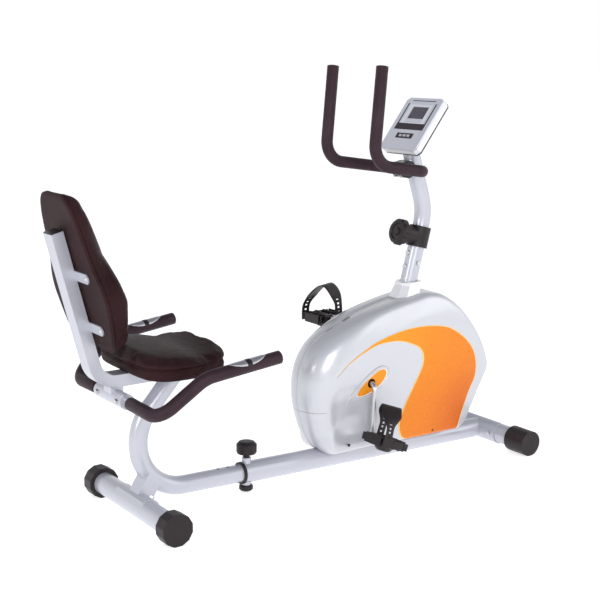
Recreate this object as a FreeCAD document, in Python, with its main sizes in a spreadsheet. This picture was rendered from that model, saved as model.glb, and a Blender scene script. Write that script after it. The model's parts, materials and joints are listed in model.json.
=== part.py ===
"""Recumbent exercise bike: a floor frame, a magnetic drive in a shell, a sliding seat and a console.

Frame of the model: +X forward from the seat to the pedals, +Y to the rider's left, +Z up.
The origin is on the floor, under the middle of the bike's box.  Millimetres and degrees.
"""
import FreeCAD, Part
import math
import os
import Sketcher
from FreeCAD import Placement, Rotation, Vector

doc = FreeCAD.newDocument("recumbent_bike")
sheet = doc.addObject("Spreadsheet::Sheet", "sizes")

# Every driving dimension: alias, value, what it is.  Places called a reach are measured forward
# from the rear stabiliser's axis, and heights from the floor.
SIZES = [
    ("rear_x", -524.7, "rear stabiliser axis, from the origin"),
    ("wheelbase", 1228, "between the two stabiliser axes"),
    ("stabilizer_diameter", 60, "both stabiliser tubes"),
    ("tube_wall", 2, "wall of every steel tube"),
    ("rear_tube_length", 452, "rear stabiliser tube"),
    ("rear_axis_height", 42, "rear stabiliser axis"),
    ("rear_cap_length", 40, "levelling cap on the rear tube"),
    ("rear_cap_sides", 12, "flats round a levelling cap"),
    ("front_tube_length", 440, "front stabiliser tube"),
    ("front_axis_height", 38, "front stabiliser axis"),
    ("front_cap_length", 76, "cap on the front tube"),
    ("cap_wall", 4, "end of a cap beyond its tube"),
    ("front_cap_radius", 38.6, "front cap, a little over its axis height, to leave a foot flat"),
    ("saddle_wall", 3.5, "plate of the saddles on both stabilisers"),
    ("front_saddle_length", 190, "front saddle along its tube"),
    ("rear_saddle_length", 150, "rear saddle along its tube"),
    ("stub_length", 92, "square stub, from the rear stabiliser's axis to the seat tube"),
    ("stub_width", 50, "square stub, along Y"),
    ("stub_depth", 46, "square stub, across its thin side"),
    ("stub_wall", 3, "square stub"),
    ("stub_rise", 56, "square stub, from level"),
    ("front_bolt_spread", 150, "between the two front saddle bolts"),
    ("rear_bolt_spread", 110, "between the two rear saddle bolts"),
    ("bolt_diameter", 8, "shank of every frame bolt"),
    ("bolt_head", 13, "across the flats of a bolt head"),
    ("bolt_head_height", 5, "bolt head"),
    ("bolt_clearance", 0.3, "radial clearance of a bolt in its hole"),
    ("main_tube_diameter", 60, "main tube"),
    ("sleeve_reach", 330, "rear end of the main tube"),
    ("sleeve_height", 61, "axis of the main tube at its rear end"),
    ("slide_tube_diameter", 50, "seat tube that slides in the main tube"),
    ("slide_fit", 0.05, "radial clearance of the seat tube in its bushing"),
    ("press_gap", 0.05, "radial gap left round a pressed or welded seat"),
    ("bushing_length", 80, "bushing inside the main tube"),
    ("bushing_flange", 7, "ring of the bushing outside the main tube"),
    ("knob_reach", 344, "axis of both knobs"),
    ("hole_pitch", 31, "between the seat tube's adjusting holes"),
    ("hole_diameter", 10, "adjusting hole"),
    ("holes_behind", 3, "adjusting holes behind the pin"),
    ("holes_ahead", 4, "adjusting holes ahead of the pin"),
    ("pin_diameter", 9, "pin of the pull knob"),
    ("pin_lift", 7.8, "tip of the drawn pin above the seat tube"),
    ("stem_gap", 0.4, "a knob's stem or shoulder from what it bears on"),
    ("boss_diameter", 26, "boss for a knob on the main tube"),
    ("top_boss_height", 43, "upper boss, from the main tube's axis"),
    ("top_knob_diameter", 57, "pull knob"),
    ("top_knob_low", 55, "underside of the pull knob, from the main tube's axis"),
    ("top_knob_height", 35, "pull knob"),
    ("low_boss_height", 36, "lower boss, from the main tube's axis"),
    ("low_knob_diameter", 39, "clamp knob under the tube"),
    ("low_knob_height", 16, "clamp knob under the tube"),
    ("inner_reach", 560, "front end of the seat tube, inside the main tube"),
    ("seat_bend_reach", 145, "where the seat tube starts to bend up"),
    ("seat_bend_radius", 137, "bend of the seat tube"),
    ("seat_tube_lean", 48, "upper end of the seat tube, from level"),
    ("rail_height", 390, "axis of the level rail under the seat"),
    ("rail_depth", 32, "seat rail, across its thin side"),
    ("rail_width", 50, "seat rail, along Y"),
    ("rail_front_reach", 150, "front end of the seat rail"),
    ("rail_bend_radius", 62, "bend between the rail and the back tube"),
    ("back_foot_reach", -102.6, "where the back tube's axis meets the rail's axis"),
    ("back_lean", 14.2, "back tube, from upright"),
    ("back_length", 404, "back tube along its axis, above the rail's axis"),
    ("bracket_height", 26, "flat bar behind the backrest"),
    ("bracket_wall", 4, "flat bar behind the backrest"),
    ("bracket_length", 187, "flat bar along Y"),
    ("bracket_low", 150, "lower flat bar, up the back tube's axis from the rail's axis"),
    ("bracket_high", 287, "upper flat bar, up the back tube's axis from the rail's axis"),
    ("screw_spread", 160, "between the two screws of a flat bar"),
    ("screw_diameter", 6, "cushion screws"),
    ("soft_gap", 0.4, "between a cushion or a grip and what carries it"),
    ("back_cushion_low", 92, "backrest's lower edge, up the back tube's axis"),
    ("back_cushion_height", 412, "backrest"),
    ("back_cushion_width", 336, "backrest, at its broadest"),
    ("back_cushion_depth", 62, "backrest"),
    ("seat_cushion_rear", -40, "seat cushion's rear edge, as a reach"),
    ("seat_cushion_length", 262, "seat cushion"),
    ("seat_cushion_width", 384, "seat cushion"),
    ("seat_cushion_depth", 66, "seat cushion"),
    ("seat_pan_wall", 3, "steel plate under the seat cushion"),
    ("seat_pan_width", 180, "steel plate under the seat cushion"),
    ("seat_pan_length", 180, "steel plate under the seat cushion"),
    ("seat_pan_lead", 25, "middle of the plate ahead of the middle of the rail under it"),
    ("seat_screw_rear", 15, "rear pair of screws under the seat, as a reach"),
    ("seat_screw_front", 150, "front pair of screws under the seat, as a reach"),
    ("screw_hole_depth", 24, "blind hole for a screw in a cushion"),
    ("pulse_reach", -54, "axis of the cross sleeve"),
    ("pulse_height", 347, "axis of the cross sleeve"),
    ("pulse_sleeve_diameter", 40, "cross sleeve"),
    ("pulse_sleeve_length", 156, "cross sleeve"),
    ("pulse_bolt_spread", 112, "between the two bolts of the cross sleeve"),
    ("bar_diameter", 25, "steel of both handlebars"),
    ("grip_diameter", 34, "foam of both handlebars"),
    ("pulse_outer", 277, "pulse grip's end, from the middle plane"),
    ("pulse_end_reach", 272, "pulse grip's end"),
    ("pulse_end_height", 459, "pulse grip's end"),
    ("pulse_elbow_reach", 62, "where a pulse grip turns down"),
    ("pulse_elbow_height", 434, "where a pulse grip turns down"),
    ("sensor_setback", 45, "contact plate behind the grip's end"),
    ("sensor_length", 98, "contact plate on a pulse grip"),
    ("sensor_wall", 1.2, "contact plate on a pulse grip"),
    ("crank_reach", 717, "crank axis"),
    ("crank_height", 278, "crank axis"),
    ("crank_length", 150, "crank axis to pedal axis"),
    ("crank_tilt", 5.8, "lower crank arm leans this far to the rear"),
    ("crank_bar_diameter", 16, "bar that the crankshaft is forged from"),
    ("crank_bend", 103, "crank arm at the crank axis, from the middle plane"),
    ("crank_eye_offset", 113, "crank arm at the pedal axis, from the middle plane"),
    ("crank_eye_diameter", 27, "boss at the end of a crank arm"),
    ("crank_eye_length", 14, "boss at the end of a crank arm"),
    ("bearing_fit", 0.04, "radial clearance of every turning shaft"),
    ("shell_diameter", 46, "bottom bracket shell"),
    ("shell_length", 66, "bottom bracket shell"),
    ("shell_wall", 4, "bottom bracket shell"),
    ("bearing_width", 9, "crank bearing"),
    ("column_diameter", 38, "tube under the bottom bracket"),
    ("tie_width", 40, "bottom bracket's tie, along Y"),
    ("tie_height", 20, "bottom bracket's tie"),
    ("tie_lead", 40, "tie's end above the bottom bracket, along the post's axis"),
    ("spindle_diameter", 12, "pedal spindle"),
    ("pedal_offset", 170, "middle of a pedal, from the middle plane"),
    ("pedal_length", 95, "pedal, along the foot"),
    ("pedal_width", 92, "pedal, across the foot"),
    ("pedal_height", 28, "pedal"),
    ("pedal_nose", 18, "taper at each end of a pedal, along the foot"),
    ("pedal_taper", 20, "taper at each end of a pedal, across the foot"),
    ("pedal_barrel", 32, "middle part of a pedal, round the spindle"),
    ("pedal_slot", 15, "opening between the barrel and a tread"),
    ("pedal_rim", 14, "side of a pedal beside its openings"),
    ("pedal_tilt", 20, "right pedal at rest, nose down"),
    ("strap_rise", 72, "strap above the pedal"),
    ("strap_shoulder", 24, "top of the strap's legs above the pedal"),
    ("strap_crown", 28, "flat top of the strap, across the foot"),
    ("strap_width", 40, "strap along the foot"),
    ("strap_wall", 3, "strap"),
    ("strap_gap", 0.4, "soft gap between the strap and the pedal"),
    ("strap_middle", 4, "middle of the strap in front of the spindle"),
    ("strap_slant", 0.54, "how far the strap leans back for each millimetre outwards"),
    ("drive_radius", 120, "drive pulley"),
    ("belt_plane", 48, "middle of the belt, from the middle plane"),
    ("pulley_width", 16, "both pulleys"),
    ("pulley_window", 38, "round window in the drive pulley"),
    ("pulley_hub", 26, "radius of the drive pulley's hub"),
    ("belt_width", 12, "drive belt"),
    ("belt_wall", 3.5, "drive belt"),
    ("small_radius", 22, "pulley on the flywheel's hub"),
    ("flywheel_reach", 985, "flywheel axis"),
    ("flywheel_height", 225, "flywheel axis"),
    ("flywheel_radius", 115, "flywheel"),
    ("flywheel_width", 24, "flywheel"),
    ("flywheel_axle", 10, "diameter of the flywheel's axle"),
    ("fork_wall", 4, "plates that carry the flywheel"),
    ("fork_width", 60, "plates that carry the flywheel"),
    ("fork_right", -32, "middle of the right plate"),
    ("fork_left", 64, "middle of the left plate"),
    ("fork_base", 6, "plate under the fork"),
    ("fork_above", 22, "fork above the axle"),
    ("magnet_gap", 11, "between the flywheel's rim and the magnets' arm when it is lifted"),
    ("magnet_arm_wall", 6, "magnet arm"),
    ("magnet_arm_width", 30, "magnet arm"),
    ("magnet_pivot_angle", 127, "pivot of the magnet arm, round the flywheel's axis from level"),
    ("magnet_tip_angle", 56, "tip of the magnet arm, round the flywheel's axis from level"),
    ("magnet_wall", 6, "magnet"),
    ("magnet_length", 24, "magnet, round the flywheel"),
    ("magnet_pin", 3, "radius of the magnet arm's pivot"),
    ("post_diameter", 50, "both post tubes"),
    ("post_reach", 786, "where the post's axis meets the main tube's axis"),
    ("post_lean", 15.1, "lower post, from upright"),
    ("post_joint", 650, "lower post along its axis, from the main tube's axis"),
    ("spigot_length", 118, "upper post's spigot inside the lower post"),
    ("post_bend_up", 726, "lower post's axis to the bend's corner, from the main tube's axis"),
    ("post_bend_radius", 150, "bend of the upper post"),
    ("post_top_lean", 17.4, "upper post above its bend, rearward from upright"),
    ("housing_diameter", 64, "sleeve of the tension control"),
    ("housing_length", 62, "sleeve of the tension control"),
    ("housing_drop", 3, "middle of the sleeve below the post's joint"),
    ("neck_diameter", 54, "neck between the sleeve and the dial"),
    ("dial_diameter", 78, "tension dial"),
    ("dial_depth", 26, "tension dial"),
    ("dial_face", 89, "face of the tension dial, from the post's axis"),
    ("bar_hinge_reach", 892, "axis that the handlebar tilts about"),
    ("bar_hinge_height", 877, "axis that the handlebar tilts about"),
    ("bar_half_width", 113, "handlebar's uprights, from the middle plane"),
    ("bar_heel_reach", 694, "corner between the handlebar's forward run and its upright"),
    ("bar_heel_height", 906, "corner between the handlebar's forward run and its upright"),
    ("bar_tip_reach", 720, "top of the handlebar"),
    ("bar_tip_height", 1172, "top of the handlebar"),
    ("bar_heel_radius", 62, "bend at the foot of an upright"),
    ("bar_cross_radius", 44, "bend into the handlebar's cross piece"),
    ("clamp_width", 46, "clamp that holds the handlebar"),
    ("clamp_radius", 23, "clamp that holds the handlebar"),
    ("console_reach", 865, "lower edge of the console's face"),
    ("console_low", 937, "lower edge of the console's face"),
    ("console_rise", 52.4, "console's face, from level"),
    ("console_width", 160, "console"),
    ("console_length", 180, "console"),
    ("console_depth", 28, "console"),
    ("bezel_depth", 7, "front part of the console"),
    ("console_corner", 10, "console's corners"),
    ("screen_width", 74, "console's window"),
    ("screen_height", 58, "console's window"),
    ("screen_up", 122, "middle of the window, up the face"),
    ("button_up", 47, "middle of the button row, up the face"),
    ("button_pitch", 17, "between buttons"),
    ("button_width", 11, "button"),
    ("button_height", 7, "button"),
    ("button_gap", 0.5, "round a button in its hole"),
    ("shell_half", 85, "drive shell, half thickness"),
    ("shell_edge", 30, "rounding of the drive shell's edges"),
    ("shell_skin", 2.5, "wall of the drive shell"),
    ("shell_low", 78, "underside of the drive shell"),
    ("panel_wall", 1.2, "coloured panel on the drive shell"),
    ("collar_top", 513, "top of the collar, along the post's axis"),
    ("collar_depth", 60, "collar along the post's axis"),
    ("collar_foot_length", 98, "foot of the collar"),
    ("collar_foot_width", 84, "foot of the collar"),
    ("collar_head_length", 70, "head of the collar"),
    ("collar_head_width", 64, "head of the collar"),
    ("collar_setback", 4, "how far the foot of the collar sits behind the post's axis"),
    ("collar_corner", 0.45, "corners cut off the collar, as a share of half its width"),
    ("spring_length", 36, "gap that the magnet arm's return spring fills"),
    ("wire_diameter", 3, "sensor lead"),
    ("cable_diameter", 4, "tension cable"),
    ("cable_exit", 396, "cable's hole in the lower post, up its axis"),
    ("wire_exit", 300, "sensor lead's hole in the lower post, up its axis"),
    ("cable_hole", 4, "radius of the hole for the cable behind the dial"),
    ("shell_screw", 2, "radius of a screw through the drive shell"),
    ("cover_wall", 2.5, "crank cover"),
]
for row, (alias, value, note) in enumerate(SIZES, start=1):
    sheet.set("A%d" % row, alias)
    sheet.set("B%d" % row, str(value))
    sheet.setAlias("B%d" % row, alias)
    sheet.set("C%d" % row, note)
doc.recompute()


class Sizes:
    """Reads a size from the spreadsheet by its alias: s.wheelbase."""

    def __getattr__(self, alias):
        return float(sheet.get(alias))


s = Sizes()
X, Y, Z = Vector(1, 0, 0), Vector(0, 1, 0), Vector(0, 0, 1)
ORIGIN = Vector(0, 0, 0)
SIDES = (-1, 1)                      # the rider's right, then left
subparts = []


# ---------------------------------------------------------------- places
def at(reach, y, height):
    """A point from its reach, its place across and its height."""
    return Vector(s.rear_x + reach, y, height)


def main_height(reach):
    """Height of the main tube's axis, which falls towards the front."""
    fall = (s.sleeve_height - s.front_axis_height) / (s.wheelbase - s.sleeve_reach)
    return s.sleeve_height - fall * (reach - s.sleeve_reach)


def main_axis(reach):
    return at(reach, 0, main_height(reach))


def turned(direction, degrees):
    """A direction in the XZ plane, turned up from +X towards +Z."""
    return Rotation(-Y, degrees).multVec(direction)


REAR_AXIS = at(0, 0, s.rear_axis_height)
FRONT_AXIS = at(s.wheelbase, 0, s.front_axis_height)
MAIN = (FRONT_AXIS - main_axis(s.sleeve_reach)).normalize()
MAIN_UP = MAIN.cross(Y)
POST_FOOT = main_axis(s.post_reach)
POST = turned(Z, -s.post_lean)
POST_BACK = turned(-X, -s.post_lean)
POST_TOP = turned(Z, s.post_top_lean)
BACK_FOOT = at(s.back_foot_reach, 0, s.rail_height)
BACK = turned(Z, s.back_lean)
BACK_FRONT = turned(X, s.back_lean)
CRANK = at(s.crank_reach, 0, s.crank_height)
FLYWHEEL = at(s.flywheel_reach, 0, s.flywheel_height)
BAR_HINGE = at(s.bar_hinge_reach, 0, s.bar_hinge_height)
HOUSING_MIDDLE = s.post_joint - s.housing_drop


# ---------------------------------------------------------------- document helpers
def keep(item, label):
    """Registers an object as the sub-part of that name."""
    item.Label = label
    subparts.append(item)
    return item


def bind(item, **sizes):
    """Binds properties to expressions on the sheet."""
    for prop, expression in sizes.items():
        item.setExpression(prop, expression)
    return item


def rod(name, radius, length, start, direction):
    """A cylinder whose radius and length are expressions."""
    item = bind(doc.addObject("Part::Cylinder", name), Radius=radius, Height=length)
    item.Placement = Placement(start, Rotation(Z, direction))
    return item


def rod_across(name, radius, length, centre):
    """A cylinder along Y about its centre."""
    item = bind(doc.addObject("Part::Cylinder", name), Radius=radius, Height=length)
    doc.recompute()
    item.Placement = Placement(centre - Y * (item.Height.Value / 2), Rotation(Z, Y))
    return item


def feature(name, shape):
    """A shape made with Part's own functions."""
    item = doc.addObject("Part::Feature", name)
    item.Shape = shape
    return item


def minus(name, base, *tools):
    """The base with every tool cut away."""
    item = doc.addObject("Part::Cut", name)
    item.Base = base
    item.Tool = tools[0] if len(tools) == 1 else plus(name + "_tools", *tools)
    return item


def plus(name, *items):
    item = doc.addObject("Part::MultiFuse", name)
    item.Shapes = list(items)
    return item


def group(name, *items):
    """Separate solids in one object."""
    item = doc.addObject("Part::Compound", name)
    item.Links = list(items)
    return item


# ---------------------------------------------------------------- sketch helpers
def new_body(label, origin, axis=Z, rotation=None):
    """A body whose own Z runs along the axis."""
    body = doc.addObject("PartDesign::Body", label)
    body.Placement = Placement(origin, rotation or Rotation(Z, axis))
    return body


def sketch_on(body, name, role="XY_Plane"):
    sketch = body.newObject("Sketcher::SketchObject", name)
    plane = next(item for item in body.Origin.OriginFeatures if item.Role == role)
    sketch.AttachmentSupport = (plane, [""])
    sketch.MapMode = "FlatFace"
    return sketch


def pin_point(sketch, geometry, point, expressions):
    """Fixes a sketch point at two expressions, from the sketch's origin."""
    for kind, expression in zip(("DistanceX", "DistanceY"), expressions):
        value = float(sketch.evalExpression(expression))
        index = sketch.addConstraint(Sketcher.Constraint(kind, -1, 1, geometry, point, value))
        sketch.setExpression("Constraints[%d]" % index, expression)


def outline(sketch, corners):
    """A closed outline through corners given as pairs of expressions."""
    points = [Vector(*(float(sketch.evalExpression(value)) for value in corner), 0) for corner in corners]
    first = sketch.GeometryCount
    for start, end in zip(points, points[1:] + points[:1]):
        sketch.addGeometry(Part.LineSegment(start, end), False)
    for index, corner in enumerate(corners):
        after = first + (index + 1) % len(corners)
        sketch.addConstraint(Sketcher.Constraint("Coincident", first + index, 2, after, 1))
        pin_point(sketch, first + index, 1, corner)


def box_outline(sketch, left, right, low, high):
    outline(sketch, [(left, low), (right, low), (right, high), (left, high)])


def ring(sketch, radius, centre=("0", "0")):
    """A circle whose radius and centre are expressions."""
    middle = Vector(*(float(sketch.evalExpression(value)) for value in centre), 0)
    value = float(sketch.evalExpression(radius))
    geometry = sketch.addGeometry(Part.Circle(middle, Z, value), False)
    index = sketch.addConstraint(Sketcher.Constraint("Radius", geometry, value))
    sketch.setExpression("Constraints[%d]" % index, radius)
    pin_point(sketch, geometry, 3, centre)


def pad(body, sketch, length, midplane=False, reverse=False):
    item = bind(body.newObject("PartDesign::Pad", sketch.Name + "_pad"), Length=length)
    item.Profile = sketch
    item.Midplane = midplane
    item.Reversed = reverse
    return item


def pocket(body, sketch, length="", reverse=False):
    """A pocket of that depth, or right through both ways when no depth is given."""
    item = body.newObject("PartDesign::Pocket", sketch.Name + "_pocket")
    item.Profile = sketch
    if length:
        bind(item, Length=length)
        item.Reversed = reverse
    else:
        item.Type = "ThroughAll"
        item.Midplane = True
    return item


def revolved(body, corners):
    """A solid turned about the body's Z axis from corners of radius and height."""
    sketch = sketch_on(body, body.Name + "_profile", "XZ_Plane")
    outline(sketch, corners)
    item = body.newObject("PartDesign::Revolution", body.Name + "_turn")
    item.Profile = sketch
    item.ReferenceAxis = (sketch, ["V_Axis"])
    item.Angle = 360
    return item


def round_array(body, original, sketch, count):
    """Repeats a feature evenly round the normal of its sketch."""
    item = body.newObject("PartDesign::PolarPattern", original.Name + "_array")
    item.Originals = [original]
    item.Axis = (sketch, ["N_Axis"])
    item.Angle = 360
    item.Occurrences = count
    body.Tip = item
    return item


# ---------------------------------------------------------------- shapes from Part's functions
def bent_path(points, radii):
    """A wire of straight runs joined by tangent arcs at its inner points."""
    edges = []
    start = points[0]
    for before, corner, after, radius in zip(points, points[1:], points[2:], radii):
        back = (before - corner).normalize()
        ahead = (after - corner).normalize()
        half = back.getAngle(ahead) / 2
        reach = radius / math.tan(half)
        middle = (back + ahead).normalize()
        top = corner + middle * (radius / math.sin(half) - radius)
        edges.append(Part.LineSegment(start, corner + back * reach).toShape())
        edges.append(Part.Arc(corner + back * reach, top, corner + ahead * reach).toShape())
        start = corner + ahead * reach
    edges.append(Part.LineSegment(start, points[-1]).toShape())
    return Part.Wire(edges)


def swept(path, radius):
    """A round solid along a path."""
    first = path.OrderedEdges[0]
    start = first.valueAt(first.FirstParameter)
    tangent = first.tangentAt(first.FirstParameter)
    profile = Part.Wire(Part.Circle(start, tangent, radius).toShape())
    return path.makePipeShell([profile], True, False)


def swept_tube(path, radius, wall):
    return swept(path, radius).cut(swept(path, radius - wall))


def cylinder(radius, start, end):
    direction = end - start
    return Part.makeCylinder(radius, direction.Length, start, direction)


def block(centre, across, depth, height, rotation=None):
    """A box about its centre: across is along Y, depth and height along the turned X and Z."""
    solid = Part.makeBox(depth, across, height, Vector(-depth / 2, -across / 2, -height / 2))
    solid.Placement = Placement(centre, rotation or Rotation())
    return solid


def bolt(seat, direction, shank, head=None):
    """A hexagon bolt whose head sits on the seat, its shank running along the direction."""
    across = head or s.bolt_head
    corners = [Rotation(Z, 60 * turn).multVec(X) * (across / math.sqrt(3)) for turn in range(7)]
    solid = Part.Face(Part.makePolygon(corners)).extrude(Z * -s.bolt_head_height)
    solid = solid.fuse(Part.makeCylinder(s.bolt_diameter / 2, shank))
    solid.Placement = Placement(seat, Rotation(Z, direction))
    return solid


def bolt_hole(seat, direction, length):
    """The clearance hole of a bolt, started a little outside its seat."""
    radius = s.bolt_diameter / 2 + s.bolt_clearance
    return Part.makeCylinder(radius, length + 2 * s.bolt_head_height,
                             seat - direction * s.bolt_head_height, direction)


def smooth_face(points):
    """A flat face inside a closed smooth curve through the points."""
    curve = Part.BSplineCurve()
    curve.interpolate(Points=points, PeriodicFlag=True)
    return Part.Face(Part.Wire(curve.toShape()))


# ---------------------------------------------------------------- floor frame
def saddle_bolt_seats():
    """Seat and direction of each bolt through the front saddle, from behind."""
    radius = s.stabilizer_diameter / 2 + s.saddle_wall
    return [(FRONT_AXIS + Y * (side * s.front_bolt_spread / 2) - X * radius, X) for side in SIDES]


def rear_stub():
    """Direction from the rear stabiliser's axis to the seat tube's bend."""
    return turned(X, s.stub_rise)


def rear_bolt_seats():
    """Seat and direction of each bolt through the rear saddle, from above."""
    radius = s.stabilizer_diameter / 2 + s.saddle_wall
    out = rear_stub()
    return [(REAR_AXIS + Y * (side * s.rear_bolt_spread / 2) + out * radius, -out) for side in SIDES]


def stabilizer(label, axis, length, seats):
    outer = rod_across(label + "_outer", "sizes.stabilizer_diameter / 2", length, axis)
    inner = rod_across(label + "_bore", "sizes.stabilizer_diameter / 2 - sizes.tube_wall", length, axis)
    holes = [feature(label + "_hole", bolt_hole(seat, way, s.stabilizer_diameter)) for seat, way in seats]
    keep(minus(label, outer, inner, *holes), label)


def saddle(axis, length, towards, spread, seats):
    """A half shell round a stabiliser, on the side that it faces towards."""
    outer = s.stabilizer_diameter / 2 + s.saddle_wall
    shell = cylinder(outer, axis - Y * (length / 2), axis + Y * (length / 2))
    shell = shell.cut(cylinder(s.stabilizer_diameter / 2 + s.press_gap, axis - Y * length, axis + Y * length))
    keeper = block(axis + towards * outer, 2 * length, 2 * outer, 2 * outer * spread, Rotation(X, towards))
    shell = shell.common(keeper)
    for seat, way in seats:
        shell = shell.cut(bolt_hole(seat, way, outer))
    return shell


def front_saddle():
    shell = saddle(FRONT_AXIS, s.front_saddle_length, -X, 1, saddle_bolt_seats())
    keep(feature("front_saddle", shell), "front_saddle")


def end_caps(label, axis, tube_length, cap_length, profile):
    """Cups over both ends of a stabiliser: the profile draws the outside on a sketch."""
    caps = []
    for side in SIDES:
        tip = axis + Y * (side * (tube_length / 2 + s.cap_wall))
        body = new_body(label + ("_right" if side < 0 else "_left"), tip, Y * -side)
        outside = sketch_on(body, body.Name + "_outside")
        profile(outside)
        pad(body, outside, cap_length)
        doc.recompute()
        bore = sketch_on(body, body.Name + "_bore")
        bore.AttachmentOffset = Placement(Vector(0, 0, s.cap_wall), Rotation())
        ring(bore, "sizes.stabilizer_diameter / 2 + sizes.press_gap")
        pocket(body, bore, cap_length, reverse=True)
        caps.append(body)
    keep(group(label, *caps), label)


def faceted(sketch):
    """A prism with a flat at the bottom, its apothem the height of the axis."""
    sides = int(s.rear_cap_sides)
    half = 180 / sides
    down = sketch.getParentGeoFeatureGroup().Placement.Rotation.inverted().multVec(-Z)
    start = math.degrees(math.atan2(down.y, down.x)) + half
    corner = "sizes.rear_axis_height / cos(%.6f deg)" % half
    corners = []
    for turn in range(sides):
        angle = start + 2 * half * turn
        corners.append(("%s * cos(%.6f deg)" % (corner, angle), "%s * sin(%.6f deg)" % (corner, angle)))
    outline(sketch, corners)


def rounded(sketch):
    """A circle a little over the height of the axis."""
    ring(sketch, "sizes.front_cap_radius")


def front_caps():
    """Round caps, cut level with the floor."""
    end_caps("front_caps_blank", FRONT_AXIS, s.front_tube_length, "sizes.front_cap_length", rounded)
    blank = subparts.pop()
    floor = feature("front_caps_floor", block(FRONT_AXIS - Z * (s.front_axis_height + 10),
                                              2 * s.front_tube_length, 100, 20))
    keep(minus("front_end_caps", blank, floor), "front_end_caps")


def main_tube():
    """Tube from the sleeve to the front saddle, with the two knob bosses."""
    start = main_axis(s.sleeve_reach)
    length = (FRONT_AXIS - start).Length
    knob = main_axis(s.knob_reach)
    wall = s.main_tube_diameter / 2 - s.tube_wall
    outer = feature("main_tube_outer", cylinder(s.main_tube_diameter / 2, start, start + MAIN * length))
    top = rod("top_boss", "sizes.boss_diameter / 2", "sizes.top_boss_height", knob, MAIN_UP)
    low = rod("low_boss", "sizes.boss_diameter / 2", "sizes.low_boss_height", knob, MAIN_UP * -1)
    bore = feature("main_tube_bore", cylinder(wall, start - MAIN * 10, start + MAIN * (length + 10)))
    stem = feature("main_tube_stems", cylinder(s.pin_diameter / 2 + s.bearing_fit,
                                               knob - MAIN_UP * 100, knob + MAIN_UP * 100))
    radius = s.stabilizer_diameter / 2 + s.saddle_wall + s.press_gap
    cope = feature("main_tube_cope", cylinder(radius, FRONT_AXIS - Y * 60, FRONT_AXIS + Y * 60))
    keep(minus("main_tube", plus("main_tube_solid", outer, top, low), bore, stem, cope), "main_tube")


def tube_bushing():
    """Plastic liner of the main tube, with a ring outside its end."""
    start = main_axis(s.sleeve_reach)
    outside = s.main_tube_diameter / 2 - s.tube_wall - s.press_gap
    liner = cylinder(outside, start, start + MAIN * s.bushing_length)
    flange = cylinder(s.main_tube_diameter / 2 + 1, start - MAIN * s.bushing_flange, start)
    bore = cylinder(s.slide_tube_diameter / 2 + s.slide_fit, start - MAIN * 50, start + MAIN * 300)
    knob = main_axis(s.knob_reach)
    stem = cylinder(s.pin_diameter / 2 + s.press_gap, knob - MAIN_UP * 100, knob + MAIN_UP * 100)
    keep(feature("tube_bushing", liner.fuse(flange).cut(bore).cut(stem).removeSplitter()), "tube_bushing")


def scalloped_knob(label, origin, axis, diameter, corners, scallops):
    """A turned knob with scallops cut round its rim."""
    body = new_body(label, origin, axis)
    revolved(body, corners)
    doc.recompute()
    sketch = sketch_on(body, label + "_scallop")
    radius = "sizes.%s / 7" % diameter
    ring(sketch, radius, ("sizes.%s / 2 + sizes.%s / 11" % (diameter, diameter), "0"))
    cut = pocket(body, sketch)
    doc.recompute()
    round_array(body, cut, sketch, scallops)
    return keep(body, label)


def knobs():
    """The spring pin's pull knob over the main tube, and the clamp knob under it."""
    knob = main_axis(s.knob_reach)
    pin_tip = "sizes.slide_tube_diameter / 2 + sizes.pin_lift"
    shoulder = "sizes.top_boss_height + sizes.stem_gap"
    low = "sizes.top_knob_low"
    high = low + " + sizes.top_knob_height"
    scalloped_knob("adjust_knob", knob, MAIN_UP, "top_knob_diameter", [
        ("0", pin_tip), ("sizes.pin_diameter / 2", pin_tip), ("sizes.pin_diameter / 2", shoulder),
        ("sizes.pin_diameter", shoulder), ("sizes.pin_diameter", low),
        ("sizes.top_knob_diameter / 2 - 3", low), ("sizes.top_knob_diameter / 2", low + " + 4"),
        ("sizes.top_knob_diameter / 2", high + " - 9"), ("sizes.top_knob_diameter / 2 - 6", high + " - 2"),
        ("sizes.top_knob_diameter / 2 - 12", high), ("0", high)], 7)
    tip = "sizes.slide_tube_diameter / 2 + sizes.stem_gap"
    face = "sizes.low_boss_height + sizes.stem_gap"
    foot = face + " + sizes.low_knob_height"
    scalloped_knob("lock_knob", knob, MAIN_UP * -1, "low_knob_diameter", [
        ("0", tip), ("sizes.pin_diameter / 2", tip), ("sizes.pin_diameter / 2", face),
        ("sizes.low_knob_diameter / 2 - 2", face), ("sizes.low_knob_diameter / 2", face + " + 3"),
        ("sizes.low_knob_diameter / 2", foot + " - 4"), ("sizes.low_knob_diameter / 2 - 4", foot),
        ("0", foot)], 6)


# ---------------------------------------------------------------- seat frame
def seat_tube_path():
    """Along the main tube's axis, round the bend and up to the seat rail."""
    heading = turned(X, 180 - math.degrees(math.asin(-MAIN.z)))
    bend_start = main_axis(s.seat_bend_reach)
    centre = bend_start + MAIN_UP * s.seat_bend_radius
    up = turned(X, s.seat_tube_lean)
    normal = turned(up, 90)
    bend_end = centre + normal * s.seat_bend_radius
    middle = centre + (heading.normalize() - MAIN_UP + normal - up).normalize() * s.seat_bend_radius
    run = (s.rail_height - bend_end.z) / up.z
    return Part.Wire([
        Part.LineSegment(main_axis(s.inner_reach), bend_start).toShape(),
        Part.Arc(bend_start, middle, bend_end).toShape(),
        Part.LineSegment(bend_end, bend_end + up * run).toShape()])


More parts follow.
